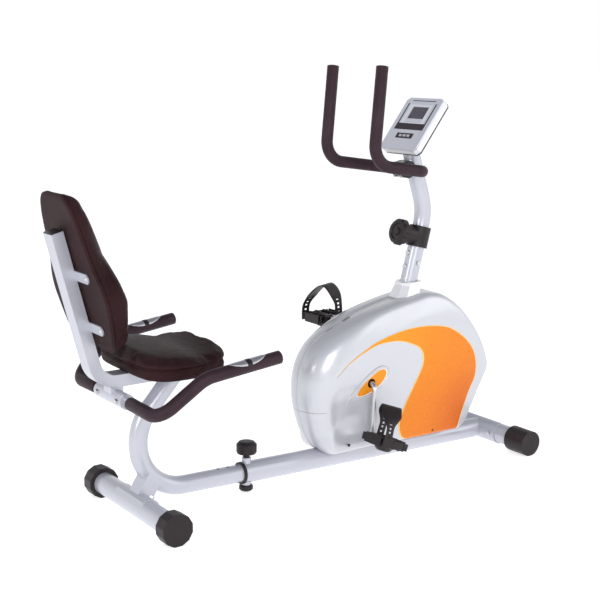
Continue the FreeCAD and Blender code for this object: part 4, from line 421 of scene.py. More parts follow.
def shape(name, points, faces, finishes, tones=None, crease=35.0):
    """A mesh object in the scene, its normals made consistent and its sharp edges kept."""
    mesh = bpy.data.meshes.new(name)
    mesh.from_pydata([tuple(point) for point in points], [], faces)
    for finish in finishes:
        mesh.materials.append(finish)
    if tones:
        mesh.polygons.foreach_set("material_index", tones)
    work = bmesh.new()
    work.from_mesh(mesh)
    bmesh.ops.remove_doubles(work, verts=work.verts, dist=0.02 * MM)
    bmesh.ops.recalc_face_normals(work, faces=work.faces)
    work.to_mesh(mesh)
    work.free()
    mesh.polygons.foreach_set("use_smooth", [True] * len(mesh.polygons))
    mesh.set_sharp_from_angle(angle=math.radians(crease))
    obj = bpy.data.objects.new(name, mesh)
    bpy.context.scene.collection.objects.link(obj)
    return obj


def fit(obj, body, slot, *nodes):
    """Puts a piece on its body, in place of CAD nodes. The slot is not used."""
    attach(obj, body)
    if nodes:
        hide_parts(*nodes)
    return obj


def modified(obj, kind, **settings):
    """Adds a modifier and applies it."""
    modifier = obj.modifiers.new(kind, kind)
    for name, value in settings.items():
        setattr(modifier, name, value)
    bpy.context.view_layer.update()
    mesh = bpy.data.meshes.new_from_object(obj.evaluated_get(bpy.context.evaluated_depsgraph_get()))
    obj.modifiers.clear()
    obj.data = mesh
    return obj


def carried_frames(path):
    """For each point of a path: the point and two directions square to the path that don't twist."""
    points = [Vector(point) for point in path]
    ways = []
    for i in range(len(points)):
        ways.append((points[min(i + 1, len(points) - 1)] - points[max(i - 1, 0)]).normalized())
    side = ways[0].orthogonal().normalized()
    frames = []
    for point, way in zip(points, ways):
        side = (side - way * side.dot(way)).normalized()
        frames.append((point, side, way.cross(side)))
    return frames


def round_bar(path, radius, dome=0.0, sides=36):
    """Points and faces of a bar along a path, its ends domed out by a share of the radius."""
    frames = carried_frames(path)
    rings = [(point, side, up, radius) for point, side, up in frames]
    first = (Vector(path[0]) - Vector(path[1])).normalized()
    last = (Vector(path[-1]) - Vector(path[-2])).normalized()
    for lift in (15, 35, 55, 75, 89.9):
        angle = math.radians(lift)
        small, out = radius * math.cos(angle), radius * dome * math.sin(angle)
        point, side, up = frames[0]
        rings.insert(0, (point + first * out, side, up, small))
        point, side, up = frames[-1]
        rings.append((point + last * out, side, up, small))
    points = []
    for point, side, up, r in rings:
        for k in range(sides):
            angle = math.tau * k / sides
            points.append(point + side * (r * math.cos(angle)) + up * (r * math.sin(angle)))
    return points, grid(len(rings), sides, True)


def joined(*parts):
    """Several lots of points and faces as one."""
    points, faces = [], []
    for part_points, part_faces in parts:
        faces += [tuple(i + len(points) for i in face) for face in part_faces]
        points += list(part_points)
    return points, faces


def lathe(profile, origin, axis, sides=48):
    """Points and faces turned about an axis from (radius, height) pairs."""
    turn = Z.rotation_difference(axis).to_matrix()
    points = []
    for radius, height in profile:
        for k in range(sides):
            angle = math.tau * k / sides
            points.append(origin + turn @ Vector((radius * math.cos(angle), radius * math.sin(angle), height)))
    return points, grid(len(profile), sides, True)


def slab(corners, thickness, place):
    """Points and faces of a flat plate: its outline in its own plane, and its frame's matrix."""
    count = len(corners)
    points = [place @ Vector((x, y, h)) for h in (0, thickness) for x, y in corners]
    faces = [tuple(range(count)), tuple(range(count, 2 * count))]
    faces += [(i, (i + 1) % count, count + (i + 1) % count, count + i) for i in range(count)]
    return points, faces


# ---------------------------------------------------------------- drive shell
SHELL_RIM = [(-130, -200), (-166, -157), (-190, -98), (-203, -28), (-196, 48), (-165, 106), (-120, 141), (-50, 173),
             (22, 197), (96, 214), (170, 227), (235, 235), (290, 225), (340, 193), (387, 143), (430, 81), (457, 24),
             (466, -14), (452, -46), (428, -88), (401, -142), (382, -178), (354, -200)]
SHELL_HALF = 85.0


def between(value, low, high):
    """A smooth share from 0 to 1."""
    t = min(max((value - low) / (high - low), 0.0), 1.0)
    return t * t * (3 - 2 * t)


def shell_outline(count):
    """The drive shell's rim round the crank axis, its corners eased."""
    arc = smooth_curve(SHELL_RIM, 400)
    base = np.linspace(arc[-1], arc[0], 90)[1:-1]
    loop = even_points(np.vstack([arc, base]), count, True)
    for _ in range(3):
        loop = (np.roll(loop, 1, 0) + 2 * loop + np.roll(loop, -1, 0)) / 4
    return loop


def rim_form(x, z):
    """At a place on the rim: how far its rounding reaches in, how square it is, and how far the side leans in."""
    rear = 1 - between(x, -190, 110)
    front = between(x, 250, 430)
    base = 1 - between(z, -200, -150)
    reach, square, lean = 62.0, 6.0, 25.0
    reach += (92 - reach) * rear
    square += (2.15 - square) * rear
    lean += (0 - lean) * rear
    reach += (34 - reach) * front
    lean += (5 - lean) * front
    reach += (30 - reach) * base
    square += (4.0 - square) * base
    lean += (0 - lean) * base
    return reach, square, lean


def hollow(x, z):
    """How far the shell's side sinks at a place: the scoop behind the crank."""
    scoop = math.exp(-(((x + 66) / 82) ** 2 + ((z + 96) / 70) ** 2) * 1.1)
    return 23.0 * scoop


def shell_half_mesh(side):
    """One half of the drive shell as points and faces, open at the middle plane and at the crank."""
    count, curl, flat = 300, 16, 30
    rim = shell_outline(count)
    rows = []
    profile = [0.0, 0.03, 0.08] + [0.08 + 0.92 * (i / curl) for i in range(1, curl + 1)]
    for number in range(len(profile) + flat):
        row = []
        for x, z in rim:
            length = math.hypot(x, z)
            reach, square, lean = rim_form(x, z)
            if number < len(profile):
                angle = profile[number] * math.pi / 2
                inward = reach * (1 - math.cos(angle) ** (2 / square))
                y = SHELL_HALF * math.sin(angle) ** (2 / square)
            else:
                share = (number - len(profile) + 1) / flat
                inward = reach + (length - 13 - reach) * share
                y = SHELL_HALF
            y *= 1 - lean / SHELL_HALF * (1 - between(inward, -60, 125))
            scale = (length - inward) / length
            if number >= len(profile):
                share = (number - len(profile) + 1) / flat
                round_share = between(share, 0.3, 1.0)
                radius = (length - inward) * (1 - round_share) + (13 + (length - 13 - reach) * (1 - share)) * round_share
                scale = radius / length
            px, pz = x * scale, z * scale
            y -= hollow(px, pz) * between(y, 40, SHELL_HALF)
            row.append(CRANK + Vector((px, side * y, pz)) * MM)
        rows.append(row)
    return [point for row in rows for point in row], grid(len(rows), count, True)


def drive_shell():
    """Both halves of the shell, each a wall of real thickness, opened where the main tube runs through its base."""
    rear, front = at(330, 0, 61), at(1228, 0, 38)
    length, radius = (front - rear).length, 30.3 * MM
    way = (front - rear).normalized()
    passage = shape("tube_passage", *lathe([(0, 0), (radius, 0), (radius, length), (0, length)], rear, way), [silver])
    for name, side in SIDES.items():
        points, faces = shell_half_mesh(side)
        half = shape("shroud_half_" + name, points, faces, [silver], crease=60)
        if side * sum(face.normal.y * face.area for face in half.data.polygons) < 0:
            half.data.flip_normals()
        if name == "right":
            tree = BVHTree.FromObject(half, bpy.context.evaluated_depsgraph_get())
        modified(half, "SOLIDIFY", thickness=2.4 * MM, offset=-1.0)
        modified(half, "BOOLEAN", operation="DIFFERENCE", solver="EXACT", object=passage)
        fit(half, "base", "silver_shell", "shroud_" + name)
    bpy.data.objects.remove(passage)
    return tree


def on_shell(x, z, lift=0.0):
    """Distance from the middle plane to the shell's side at a place round the crank axis, in millimetres."""
    start = CRANK + Vector((x, -140, z)) * MM
    place, _, _, _ = shell_skin.ray_cast(start, Y)
    if place is None:
        return SHELL_HALF * 0.5 + lift
    return -place.y / MM + lift


shell_skin = drive_shell()
OUTER_EDGE = [(332, -201), (343, -171), (362, -127), (381, -82), (404, -38), (406, 9), (392, 49), (362, 84), (321, 114),
              (281, 132), (222, 142), (164, 144), (108, 139), (34, 122), (-20, 100), (-73, 73), (-122, 33)]
INNER_EDGE = [(142, -198), (111, -178), (104, -138), (123, -90), (150, -45), (173, -8), (189, 22), (193, 47),
              (187, 68), (171, 84), (146, 96), (118, 106), (83, 112), (28, 110), (-22, 94), (-74, 70), (-122, 33)]


def crescent(name, side):
    """The orange panel: a crescent that stands proud of the shell, its edge rolled and lighter."""
    count, across = 120, 15
    outer = smooth_curve(OUTER_EDGE, count)
    inner = smooth_curve(INNER_EDGE, count)
    points = []
    tones = []
    steps = [(0.0, -0.8), (0.0, 0.9), (0.7, 1.5), (3.2, 1.7)]
    for (ox, oz), (ix, iz) in zip(outer, inner):
        width = math.hypot(ox - ix, oz - iz)
        places = []
        for inset, lift in steps:
            places.append((min(inset / max(width, 0.1), 0.45), lift))
        middle = [(places[-1][0] + (1 - 2 * places[-1][0]) * k / across, 1.7) for k in range(1, across)]
        places += middle + [(1 - share, lift) for share, lift in reversed(places)]
        for share, lift in places:
            x, z = ox + (ix - ox) * share, oz + (iz - oz) * share
            points.append(CRANK + Vector((x, side * on_shell(x, z, lift), z)) * MM)
    columns = 2 * len(steps) + across - 1
    faces = grid(count, columns)
    edge = len(steps) - 1
    tones = [0 if edge <= index % (columns - 1) < columns - 1 - edge else 1 for index in range(len(faces))]
    faces.append(tuple(range(columns)))
    tones.append(0)
    panel = shape("orange_panel_" + name, points, faces, [orange, orange_edge], tones, crease=50)
    return fit(panel, "base", "orange_panel", "side_panels")


LEAF = [(-47, -32), (-37, -9), (-8, 17), (21, 33), (43, 37), (54, 30), (51, 12), (29, -12), (0, -28), (-29, -36)]
EYE = [(-77, -51), (-64, -25), (-30, 11), (12, 38), (40, 45), (62, 35), (59, 11), (36, -16), (0, -37), (-43, -50),
       (-68, -54)]


def ray_radii(outline, count):
    """Distance from the centre to a closed outline in evenly spaced directions."""
    loop = smooth_curve(outline, 400, True)
    angles = np.unwrap(np.arctan2(loop[:, 1], loop[:, 0]))
    lengths = np.hypot(loop[:, 0], loop[:, 1])
    order = np.argsort(np.mod(angles, math.tau))
    return np.interp(np.linspace(0, math.tau, count, endpoint=False), np.mod(angles, math.tau)[order],
                     lengths[order], period=math.tau)


def crank_cover(name, side):
    """Eye-shaped cover round the crank axle: an orange leaf in a silver recess with a rolled rim."""
    count = 160
    leaf, eye = ray_radii(LEAF, count), ray_radii(EYE, count)
    hole = 12.0
    rows, tones = [], []
    plan = [(0, hole, 0, -7.0, 3), (0, hole, 0, 2.2, 3), (0, hole + 1.4, 0, 2.6, 3), (0, hole + 2.6, 0, 1.4, 0)]
    plan += [(1, share, -1.6, 1.4 + 0.9 * share, 0) for share in (0.35, 0.7, 1.0)]
    plan += [(1, 1.0, 0.0, 2.7, 2), (1, 1.0, 1.3, 2.5, 2), (1, 1.0, 2.4, 0.6, 1)]
    plan += [(2, share, -3.0, 0.5, 1) for share in (0.5, 1.0)]
    plan += [(2, 1.0, -1.6, 2.0, 1), (2, 1.0, 0.0, 2.4, 1), (2, 1.0, 1.5, 1.2, 1), (2, 1.0, 2.2, -0.8, 1)]
    for kind, share, inset, lift, tone in plan:
        row = []
        for k in range(count):
            angle = math.tau * k / count
            if kind == 0:
                radius = share
            elif kind == 1:
                radius = hole + 2.6 + (leaf[k] + inset - hole - 2.6) * share
            else:
                inner = leaf[k] + 2.4
                radius = inner + (max(eye[k] + inset, inner + 0.2 * (inset + 4)) - inner) * share
            x, z = radius * math.cos(angle), radius * math.sin(angle)
            row.append(CRANK + Vector((x, side * (SHELL_HALF + lift - hollow(x, z)), z)) * MM)
        rows.append(row)
        tones += [tone] * count
    points = [point for row in rows for point in row]
    cover = shape("crank_cover_" + name, points, grid(len(rows), count, True), [orange, silver, white_line, black],
                  tones[count:], crease=45)
    return fit(cover, "base", "silver_shell", "crank_covers")


# ---------------------------------------------------------------- cushions
def swell(obj, held, cap):
    """Puffs a closed form out under its cover. Held points stay, and none moves further than the cap."""
    modified(obj, "REMESH", mode="VOXEL", voxel_size=4.6 * MM)
    for _ in range(2):
        modified(obj, "SMOOTH", factor=0.5, iterations=2)
    start = [vertex.co.copy() for vertex in obj.data.vertices]
    group = obj.vertex_groups.new(name="held")
    group.add([i for i, point in enumerate(start) if held(point)], 1.0, "REPLACE")
    cloth = obj.modifiers.new("cover", "CLOTH")
    cloth.settings.quality = 6
    cloth.settings.mass = 0.3
    cloth.settings.use_pressure = True
    cloth.settings.uniform_pressure_force = 4.0
    cloth.settings.vertex_group_mass = "held"
    cloth.settings.tension_stiffness = 25
    cloth.settings.compression_stiffness = 12
    cloth.settings.bending_stiffness = 2
    cloth.settings.effector_weights.gravity = 0.0
    for number in range(1, 21):
        bpy.context.scene.frame_set(number)
    puffed = obj.evaluated_get(bpy.context.evaluated_depsgraph_get()).data
    moved = [vertex.co.copy() for vertex in puffed.vertices]
    obj.modifiers.clear()
    bpy.context.scene.frame_set(1)
    for vertex, first, last in zip(obj.data.vertices, start, moved):
        step = last - first
        if step.length > cap:
            step = step.normalized() * cap
        vertex.co = first + step
    obj.vertex_groups.clear()
    modified(obj, "SMOOTH", factor=0.5, iterations=3)
    return modified(obj, "SUBSURF", levels=1, render_levels=1)


def press_in(obj, line, depth, width):
    """Draws the cover in along a sewn line."""
    tree = kdtree.KDTree(len(line))
    for number, point in enumerate(line):
        tree.insert(point, number)
    tree.balance()
    for vertex in obj.data.vertices:
        _, _, away = tree.find(vertex.co)
        if away < 3 * width:
            vertex.co -= vertex.normal * (depth * math.exp(-(away / width) ** 2))


def sewn_line(obj, starts, centre):
    """Where lines from outside towards the centre line first meet the cushion."""
    tree = BVHTree.FromObject(obj, bpy.context.evaluated_depsgraph_get())
    line = []
    for start in starts:
        way = (centre(start) - start).normalized()
        place, normal, _, _ = tree.ray_cast(start, way)
        if place is not None:
            line.append((place, normal))
    return line


def piping(name, line, radius, body):
    """A closed cord of vinyl along a seam."""
    loop = [place + normal * (0.25 * radius) for place, normal in line]
    smooth = [Vector(point) for point in even_points(np.array([tuple(p) for p in loop]), 320, True)]
    for _ in range(4):
        count = len(smooth)
        smooth = [(smooth[i - 1] + smooth[i] * 2 + smooth[(i + 1) % count]) / 4 for i in range(count)]
    frames = carried_frames(smooth + smooth[:1])[:-1]
    sides = 12
    points = []
    for number, (point, _, _) in enumerate(frames):
        way = (smooth[(number + 1) % len(smooth)] - smooth[number - 1]).normalized()
        side = way.cross(Z if abs(way.z) < 0.9 else X).normalized()
        up = way.cross(side)
        for k in range(sides):
            angle = math.tau * k / sides
            points.append(point + side * (radius * math.cos(angle)) + up * (radius * math.sin(angle)))
    count = len(frames)
    faces = [(r * sides + c, r * sides + (c + 1) % sides, (r + 1) % count * sides + (c + 1) % sides,
              (r + 1) % count * sides + c) for r in range(count) for c in range(sides)]
    return fit(shape(name, points, faces, [hide]), body, "vinyl")


BACK_LEAN = math.radians(14.2)
BACK_UP = Vector((-math.sin(BACK_LEAN), 0, math.cos(BACK_LEAN)))
BACK_OUT = Vector((math.cos(BACK_LEAN), 0, math.sin(BACK_LEAN)))
BACK_BASE = at(-105.4, 0, 484.2)
BACK_HIGH = 404.0
BACK_HALF = [(0.0, 112), (0.04, 126), (0.1, 138), (0.2, 150), (0.33, 162), (0.43, 156), (0.53, 136), (0.62, 124),
             (0.72, 116), (0.82, 108), (0.9, 98), (0.96, 82), (1.0, 66)]
BACK_DEEP = [(0.0, 46), (0.12, 54), (0.3, 62), (0.45, 56), (0.6, 47), (0.75, 42), (0.9, 40), (1.0, 36)]


def keyed(keys, place):
    return float(np.interp(place, [k for k, _ in keys], [v for _, v in keys]))


def on_back(up, across, out):
    """A point of the backrest from millimetres up it, across it and out of it."""
    return BACK_BASE + (BACK_UP * up + Y * across + BACK_OUT * out) * MM


def pad_section(half, deep, count):
    """Closed outline of the backrest across and out: tight corners behind, full round ones in front."""
    corners = [(0.0, 0.0)]
    for angle in np.linspace(0, math.pi / 2, 6):
        corners.append((half - 7 + 7 * math.sin(angle), 7 - 7 * math.cos(angle)))
    for angle in np.linspace(0, math.pi / 2, 9):
        corners.append((half - 24 + 24 * math.cos(angle), deep - 20 + 20 * math.sin(angle)))
    corners.append((0.0, deep - 3))
    corners += [(-across, out) for across, out in reversed(corners[1:-1])]
    return even_points(np.array(corners), count, True)


def backrest():
    """Waisted backrest: a full lumbar roll, raised sides, and a piped seam round the edge of its back."""
    sides, points, rows = 72, [], 0
    ease = 24.0
    ends = [0, 2, 6, 12, 20, 30]
    for up in ends + list(range(44, int(BACK_HIGH) - 40, 14)) + [BACK_HIGH - end for end in reversed(ends)]:
        share = up / BACK_HIGH
        end = min(min(up, BACK_HIGH - up) / ease, 1.0)
        round_off = math.sqrt(1 - (1 - end) ** 2)
        section = pad_section(keyed(BACK_HALF, share), keyed(BACK_DEEP, share), sides)
        for across, out in section:
            shrunk = across * (1 - 9 * (1 - round_off) / keyed(BACK_HALF, share))
            points.append(on_back(up, shrunk, 4 + (out - 4) * (0.25 + 0.75 * round_off)))
        rows += 1
    faces = grid(rows, sides, True)
    faces += [tuple(range(sides)), tuple(range(len(points) - sides, len(points)))]
    pad = shape("backrest_pad", points, faces, [hide])
    swell(pad, lambda p: (p - BACK_BASE).dot(BACK_OUT) < 9 * MM, 9 * MM)
    centre = on_back(BACK_HIGH * 0.45, 0, 5)
    outline = []
    for k in range(300):
        angle = math.tau * k / 300
        outline.append(centre + (BACK_UP * math.sin(angle) + Y * math.cos(angle)) * 0.33)
    seam = sewn_line(pad, outline, lambda start: centre)
    press_in(pad, [place for place, _ in seam], 2.2 * MM, 4.5 * MM)
    piping("backrest_piping", sewn_line(pad, outline, lambda start: centre), 2.6 * MM, "seat_carriage")
    return fit(pad, "seat_carriage", "vinyl", "backrest_cushion")


SEAT_PLAN = [(-38, 0), (-37, 80), (-28, 142), (8, 180), (58, 189), (112, 186), (160, 172), (196, 148), (215, 112),
             (221, 60), (222, 0)]
SEAT_MIDDLE = 92.0


def seat_rise(x, y):
    """Shape of the seat's top over its level: crowned across, dipped to sit in, full at the front's middle."""
    dip = -13 * math.exp(-((x - 140) / 45) ** 2)
    crown = -10 * (abs(y) / 188) ** 2.2
    nose = 12 * math.exp(-((x - 218) / 24) ** 2 - (y / 110) ** 4)
    return dip + crown + nose


def seat():
    """Saddle seat: a full pad over a plain skirt, with the seam drawn in between them."""
    half = [(x, -y) for x, y in SEAT_PLAN]
    loop = smooth_curve(half[:-1] + [(x, y) for x, y in reversed(SEAT_PLAN)][:-1], 120, True)
    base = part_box("seat_cushion")[0].z / MM
    profile = [(0.0, 0.4), (0.5, 0.4), (0.86, 0.4), (0.9, -3), (0.93, -2), (0.95, 7), (0.96, 18), (0.955, 27),
               (0.98, 31), (0.995, 36), (0.99, 42), (0.965, 47), (0.92, 51), (0.84, 54), (0.7, 56), (0.5, 57),
               (0.3, 57), (0.15, 57), (0.0, 57)]
    points = []
    for share, height in profile:
        for x, y in loop:
            px, py = SEAT_MIDDLE + (x - SEAT_MIDDLE) * share, y * share
            lift = seat_rise(px, py) * between(height, 34, 58)
            points.append(at(px, py, base + height + lift))
    pad = shape("seat_pad", points, grid(len(profile), len(loop), True), [hide])
    swell(pad, lambda p: p.z < (base + 6) * MM, 7 * MM)
    level = base + 27
    starts = [at(SEAT_MIDDLE + (x - SEAT_MIDDLE) * 1.5, y * 1.5, level) for x, y in smooth_curve(loop, 260, True)]
    seam = sewn_line(pad, starts, lambda start: at(SEAT_MIDDLE, 0, level))
    press_in(pad, [place for place, _ in seam], 4.2 * MM, 4.5 * MM)
    piping("seat_piping", sewn_line(pad, starts, lambda start: at(SEAT_MIDDLE, 0, level)), 1.5 * MM, "seat_carriage")
    return fit(pad, "seat_carriage", "vinyl", "seat_cushion")


# ---------------------------------------------------------------- post
POST_LEAN = math.radians(15.1)
POST_UP = Vector((math.sin(POST_LEAN), 0, math.cos(POST_LEAN)))
POST_BACK = Vector((-math.cos(POST_LEAN), 0, math.sin(POST_LEAN)))


def collar():
    """Eight-sided boot round the post, with a rolled lip."""
    low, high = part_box("post_collar")
    foot = at(786, 0, 49.4)
    length = (high.z - foot.z) / math.cos(POST_LEAN) / MM
    points, rows = [], 0
    for down, half_x, half_y, corner in ((64, 50, 44, 24), (40, 44, 40, 21), (14, 37.5, 35, 18), (10, 36, 33.5, 17),
                                         (8, 37.5, 35, 18), (1, 37, 34.5, 18), (0, 35.5, 33, 17), (0, 26, 26, 14)):
        middle = foot + POST_UP * ((length - down) * MM) + POST_BACK * (0.06 * down * MM)
        for x, y in ((1, 1), (-1, 1), (-1, -1), (1, -1)):
            first = middle + (X * (x * (half_x - corner)) + Y * (y * half_y)) * MM
            second = middle + (X * (x * half_x) + Y * (y * (half_y - corner))) * MM
            points += [first, second] if x * y < 0 else [second, first]
        rows += 1
    boot = shape("collar_boot", points, grid(rows, 8, True), [white_line], crease=20)
    modified(boot, "BEVEL", width=1.6 * MM, segments=3, limit_method="ANGLE", angle_limit=math.radians(20))
    return fit(boot, "base", "silver_shell", "post_collar")


def clamp():
    """Two faceted halves of the handlebar clamp and the bright bolts that draw them together."""
    hinge = Vector(JOINTS["handlebar_tilt"]["pos_m"])
    upper = [(-31, 1), (-30, 8), (-16, 21), (6, 26), (20, 22), (31, 10), (31, 1)]
    lower = [(-31, -1), (-28, -10), (-14, -22), (8, -26), (22, -20), (31, -9), (31, -1)]
    turn = Matrix(((1, 0, 0, 0), (0, 0, 1, -22 * MM), (0, 1, 0, 0), (0, 0, 0, 1)))
    place = Matrix.Translation(hinge) @ turn
    parts = [slab([(x * MM, z * MM) for x, z in half], 44 * MM, place) for half in (upper, lower)]
    body = shape("clamp_halves", *joined(*parts), [gloss_black], crease=20)
    modified(body, "BEVEL", width=2.2 * MM, segments=3, limit_method="ANGLE", angle_limit=math.radians(20))
    fit(body, "base", "black_plastic", "handlebar_clamp")
    head = [(0.1, 0), (5, 0), (5, 3), (3.6, 4), (3.2, 4), (2.8, 2.2), (0.1, 2.2)]
    bolts = []
    for side in (-1, 1):
        for x, z, way in ((-20, 17.5, Vector((-0.6, 0, 0.8))), (15, 23, Vector((0.3, 0, 0.95))),
                          (-20, -17.5, Vector((-0.6, 0, -0.8)))):
            origin = hinge + Vector((x, side * 13, z)) * MM
            bolts.append(lathe([(r * MM, h * MM) for r, h in head], origin, way, 20))
    return fit(shape("clamp_bolts", *joined(*bolts), [chrome]), "base", "zinc_bolts")


def frame_plug():
    """Black plug in the open top of the back frame's tube."""
    low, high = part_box("back_frame")
    half = (high.y - low.y) / 2 / MM
    top = Vector((low.x, 0, high.z))
    tube = [v.co for v in frame["nodes"]["back_frame"].data.vertices if (v.co - top).dot(BACK_UP) > -28 * MM]
    middle = sum(tube, Vector()) / len(tube)
    level = max((point - middle).dot(BACK_UP) for point in tube)
    depth = (max((p - middle).dot(BACK_OUT) for p in tube) - min((p - middle).dot(BACK_OUT) for p in tube)) / MM / 2
    turn = Matrix((Y, BACK_OUT, BACK_UP)).transposed().to_4x4()
    place = Matrix.Translation(Vector((middle.x, 0, middle.z)) + BACK_UP * level) @ turn
    parts = [brick((2 * half - 1, 2 * depth - 1, 3), (0, 0, 1.6), place, 1.3)]
    return fit(shape("back_frame_plug", *joined(*parts), [black], crease=30), "seat_carriage", "black_plastic")


# ---------------------------------------------------------------- bars and grips
GRIP_RADIUS = 17 * MM
BAR_HALF = 113


def handlebar_foam():
    """One length of foam on each side, from the clamp to a domed end."""
    hinge = Vector(JOINTS["handlebar_tilt"]["pos_m"])
    parts = []
    for side in SIDES.values():
        corners = [at(720, side * BAR_HALF, 1172), at(694, side * BAR_HALF, 906),
                   hinge + Y * (side * BAR_HALF * MM), hinge + Y * (side * 27 * MM)]
        parts.append(round_bar(rounded_path(corners, [62 * MM, 44 * MM]), GRIP_RADIUS, 0.22))
    foam = shape("handlebar_foam", *joined(*parts), [grip])
    return fit(foam, "handlebars", "foam", "handlebar_grips")


def pulse_corners(side):
    return [at(272, side * 277, 459), at(62, side * 270, 434), at(-50, side * 236, 341), at(-54, side * 95, 347)]


def pulse_foam():
    """Foam on the two ends of the pulse handlebar."""
    parts = [round_bar(rounded_path(pulse_corners(side), [75 * MM, 56 * MM]), GRIP_RADIUS, 0.3)
             for side in SIDES.values()]
    foam = shape("pulse_grip_foam", *joined(*parts), [grip])
    return fit(foam, "seat_carriage", "foam", "pulse_grips")


def pulse_plates():
    """Two bright plates let into each grip, pointed at their far ends, with a black bridge between."""
    points, faces, tones = [], [], []
    long_way, round_way = 44, 14
    for side in SIDES.values():
        end, back = pulse_corners(side)[0], pulse_corners(side)[1]
        way = (back - end).normalized()
        across = way.cross(Z).normalized()
        up = across.cross(way)
        base = len(points)
        for i in range(long_way + 1):
            share = i / long_way
            centre = end + way * ((40 + 104 * share) * MM)
            reach = math.radians(70) * math.sin(math.pi * min(max(share, 0.02), 0.98)) ** 0.55
            for j in range(round_way + 1):
                t = 2 * j / round_way - 1
                angle = reach * t
                edge = 1 - abs(t) ** 6
                band = 0.5 if abs(share - 0.5) < 0.06 else 0.0
                radius = GRIP_RADIUS + (0.2 + (1.1 + band) * edge * min(1.0, 12 * min(share, 1 - share))) * MM
                points.append(centre + up * (radius * math.cos(angle)) + across * (radius * math.sin(angle)))
        block = grid(long_way + 1, round_way + 1)
        faces += [tuple(index + base for index in face) for face in block]
        tones += [1 if abs((n // round_way + 0.5) / long_way - 0.5) < 0.06 else 0 for n in range(len(block))]
    plates = shape("pulse_plates", points, faces, [chrome, gloss_black], tones)
    modified(plates, "SOLIDIFY", thickness=1.2 * MM, offset=-1.0)
    return fit(plates, "seat_carriage", "bright_steel", "pulse_sensors")


# ---------------------------------------------------------------- pedals
PEDAL_LONG, PEDAL_WIDE, PEDAL_HIGH = 95.0, 92.0, 28.0


def pedal_place(side):
    """Frame of a pedal: X along the foot, Y along the spindle."""
    name = "right" if side < 0 else "left"
    tilt = math.radians(20) if side < 0 else 0.0
    return Matrix.Translation(Vector(JOINTS[name + "_pedal_spin"]["pos_m"])) @ Matrix.Rotation(tilt, 4, "Y")


def brick(size, centre, place, ease=0.8):
    """A block with eased edges."""
    work = bmesh.new()
    bmesh.ops.create_cube(work, size=1.0)
    for vertex in work.verts:
        vertex.co = Vector((vertex.co[i] * size[i] + centre[i] for i in range(3)))
    bmesh.ops.bevel(work, geom=work.edges[:], offset=ease, segments=2, affect="EDGES", profile=0.6)
    work.verts.index_update()
    points = [place @ (vertex.co * MM) for vertex in work.verts]
    faces = [tuple(vertex.index for vertex in face.verts) for face in work.faces]
    work.free()
    return points, faces


def tread(x, thick, half_y, place, low=-11.0, high=10.5, teeth=9, rise=3.5):
    """A toothed bar across the pedal."""
    corners = []
    step = 2 * half_y / teeth
    for k in range(teeth):
        left = -half_y + k * step
        corners += [(left + 0.15 * step, high), (left + 0.32 * step, high + rise), (left + 0.68 * step, high + rise),
                    (left + 0.85 * step, high)]
    corners += [(y, low - (h - high)) for y, h in reversed(corners)]
    turn = place @ Matrix(((0, 0, 1, (x - thick / 2) * MM), (1, 0, 0, 0), (0, 1, 0, 0), (0, 0, 0, 1)))
    return slab([(y * MM, h * MM) for y, h in corners], thick * MM, turn)


def pedal(name, side):
    """Cage pedal: four toothed bars between end plates, on a waisted barrel."""
    place = pedal_place(side)
    barrel = [(6.3, -44), (12, -44), (13.5, -42), (13.5, -30), (11, -24), (10.5, 0), (11, 24), (13.5, 30), (13.5, 42),
              (12, 44), (6.3, 44), (6.3, -44)]
    points, faces = lathe([(r * MM, h * MM) for r, h in barrel], Vector((0, 0, 0)), Y)
    parts = [([place @ point for point in points], faces)]
    for x, half_y in ((-44, 36), (44, 36), (-25, 41), (25, 41)):
        parts.append(tread(x, 5.0, half_y, place))
    for y in (-43.5, 43.5):
        parts.append(brick((62, 5, 21), (0, y, 0), place, 1.2))
        for x in (-1, 1):
            turn = Matrix.Translation(Vector((x * 38.5, 0.918 * y, 0)) * MM) @ Matrix.Rotation(
                -x * math.copysign(0.82, y), 4, "Z")
            parts.append(brick((5, 22, 21), (0, 0, 0), place @ turn, 1.2))
    for y in (-15, 15):
        parts.append(brick((88, 4, 13), (0, y, 0), place, 0.8))
    belly = [(0.1, 27), (19, 26.5), (24, 22), (31, 9), (31, 4), (0.1, 4)]
    points, faces = lathe([(r * MM, h * MM) for r, h in belly], Vector((0, 0, 0)), -Z, 10)
    parts.append(([place @ point for point in points], faces))
    body = shape("cage_pedal_" + name, *joined(*parts), [black], crease=30)
    return fit(body, name + "_pedal", "black_plastic", "pedal_" + name)


STRAP_MIDDLE, STRAP_SLANT = -8.0, 0.54


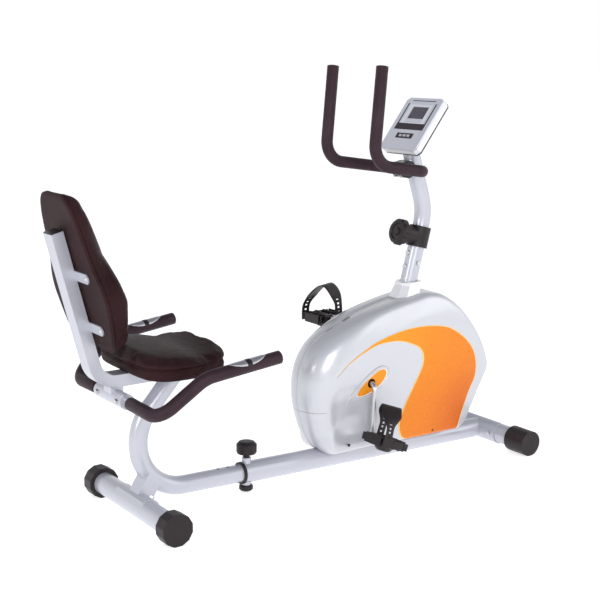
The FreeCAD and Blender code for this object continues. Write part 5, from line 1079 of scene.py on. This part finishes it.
def strap(name, side):
    """Foot strap: a wide slanting arch that narrows into two slotted legs."""
    place = pedal_place(side)
    line = [(-48.6, -12), (-48.8, 8), (-49, 28), (-47, 50), (-38, 76), (-26, 94), (-14, 101), (-2, 97), (16, 80),
            (34, 56), (46, 34), (48.8, 10), (48.6, -12)]
    line = [(out * side, high) for out, high in line]
    count = 96
    path = smooth_curve(line, count)
    fine = [-1.0, -0.65, -0.3, 0.0, 0.3, 0.65, 1.0]
    points, faces = [], []
    for number, (y, z) in enumerate(path):
        share = number / (count - 1)
        wide = between(share, 0.2, 0.38) * (1 - between(share, 0.62, 0.8))
        half = 13.0 + 14.0 * wide
        middle = STRAP_MIDDLE - STRAP_SLANT * side * y
        for column in fine:
            turned_y = y + 0.42 * side * wide * column * half
            points.append(place @ (Vector((middle + column * half, turned_y, z)) * MM))
    for r in range(count - 1):
        share = r / (count - 1)
        leg = min(share, 1 - share)
        slotted = 0.1 < leg < 0.27 and int((leg - 0.1) * 100) % 5 in (1, 2)
        for c in range(len(fine) - 1):
            if slotted and abs((fine[c] + fine[c + 1]) / 2) < 0.3:
                continue
            a = r * len(fine) + c
            faces.append((a, a + 1, a + 1 + len(fine), a + len(fine)))
    band = shape("foot_strap_" + name, points, faces, [black])
    modified(band, "SOLIDIFY", thickness=2.6 * MM, offset=0.0)
    modified(band, "BEVEL", width=0.5 * MM, segments=2, limit_method="ANGLE")
    return fit(band, name + "_pedal", "black_plastic", "pedal_strap_" + name)


# ---------------------------------------------------------------- studio
def studio():
    """Pale floor, soft lights, an even sky that is duller overhead, and the camera."""
    radius, count = 90.0, 96
    ring = [Vector((radius * math.cos(math.tau * k / count), radius * math.sin(math.tau * k / count), 0))
            for k in range(count)]
    shape("floor", ring, [tuple(range(count))], [studio_white()])

    sky = bpy.data.worlds.new("studio_sky")
    bpy.context.scene.world = sky
    f = Finish(sky)
    height = f.node("SeparateXYZ", None, {0: f.node("TexCoord", output="Generated")}, output="Z")
    stops = [(0.0, (1.0, 1.0, 1.0)), (0.3, (1.0, 1.0, 1.0)), (0.6, (0.42, 0.43, 0.47)), (1.0, (0.25, 0.26, 0.29))]
    colour = f.node("ValToRGB", {"stops": stops}, {"Fac": f.ramp(height, 0.0, 1.0)})
    glow = f.node("Background", None, {"Color": colour, "Strength": 1.0})
    f.node("OutputWorld", None, {"Surface": glow})

    target = Vector((0.0, 0.0, 0.45))
    for name, place, size, power in (("key", (-1.4, -3.9, 2.2), 1.8, 58), ("side", (-3.6, -0.6, 1.6), 1.0, 25),
                                     ("fill", (2.8, -2.6, 1.8), 2.4, 20)):
        lamp = bpy.data.lights.new(name, "AREA")
        lamp.size = size
        lamp.energy = power
        holder = bpy.data.objects.new(name, lamp)
        holder.location = place
        holder.rotation_euler = (target - holder.location).to_track_quat("-Z", "Y").to_euler()
        bpy.context.scene.collection.objects.link(holder)
    bpy.context.scene.view_settings.view_transform = "Standard"

    lens = bpy.data.cameras.new("camera")
    lens.lens = 72.69
    lens.sensor_width = 36.0
    camera = bpy.data.objects.new("camera", lens)
    right, back = Vector((0.8232, -0.5677, 0.0)), Vector((-0.5564, -0.8069, 0.1983))
    up = back.cross(right)
    camera.matrix_world = Matrix.Translation((-1.8877, -2.7402, 1.2033)) @ Matrix((right, up, back)).transposed().to_4x4()
    bpy.context.scene.collection.objects.link(camera)
    bpy.context.scene.camera = camera


studio()
paint_frame()
for name, side in SIDES.items():
    crescent(name, side)
    crank_cover(name, side)
    pedal(name, side)
    strap(name, side)
backrest()
seat()
handlebar_foam()
collar()
clamp()
frame_plug()
pulse_foam()
pulse_plates()
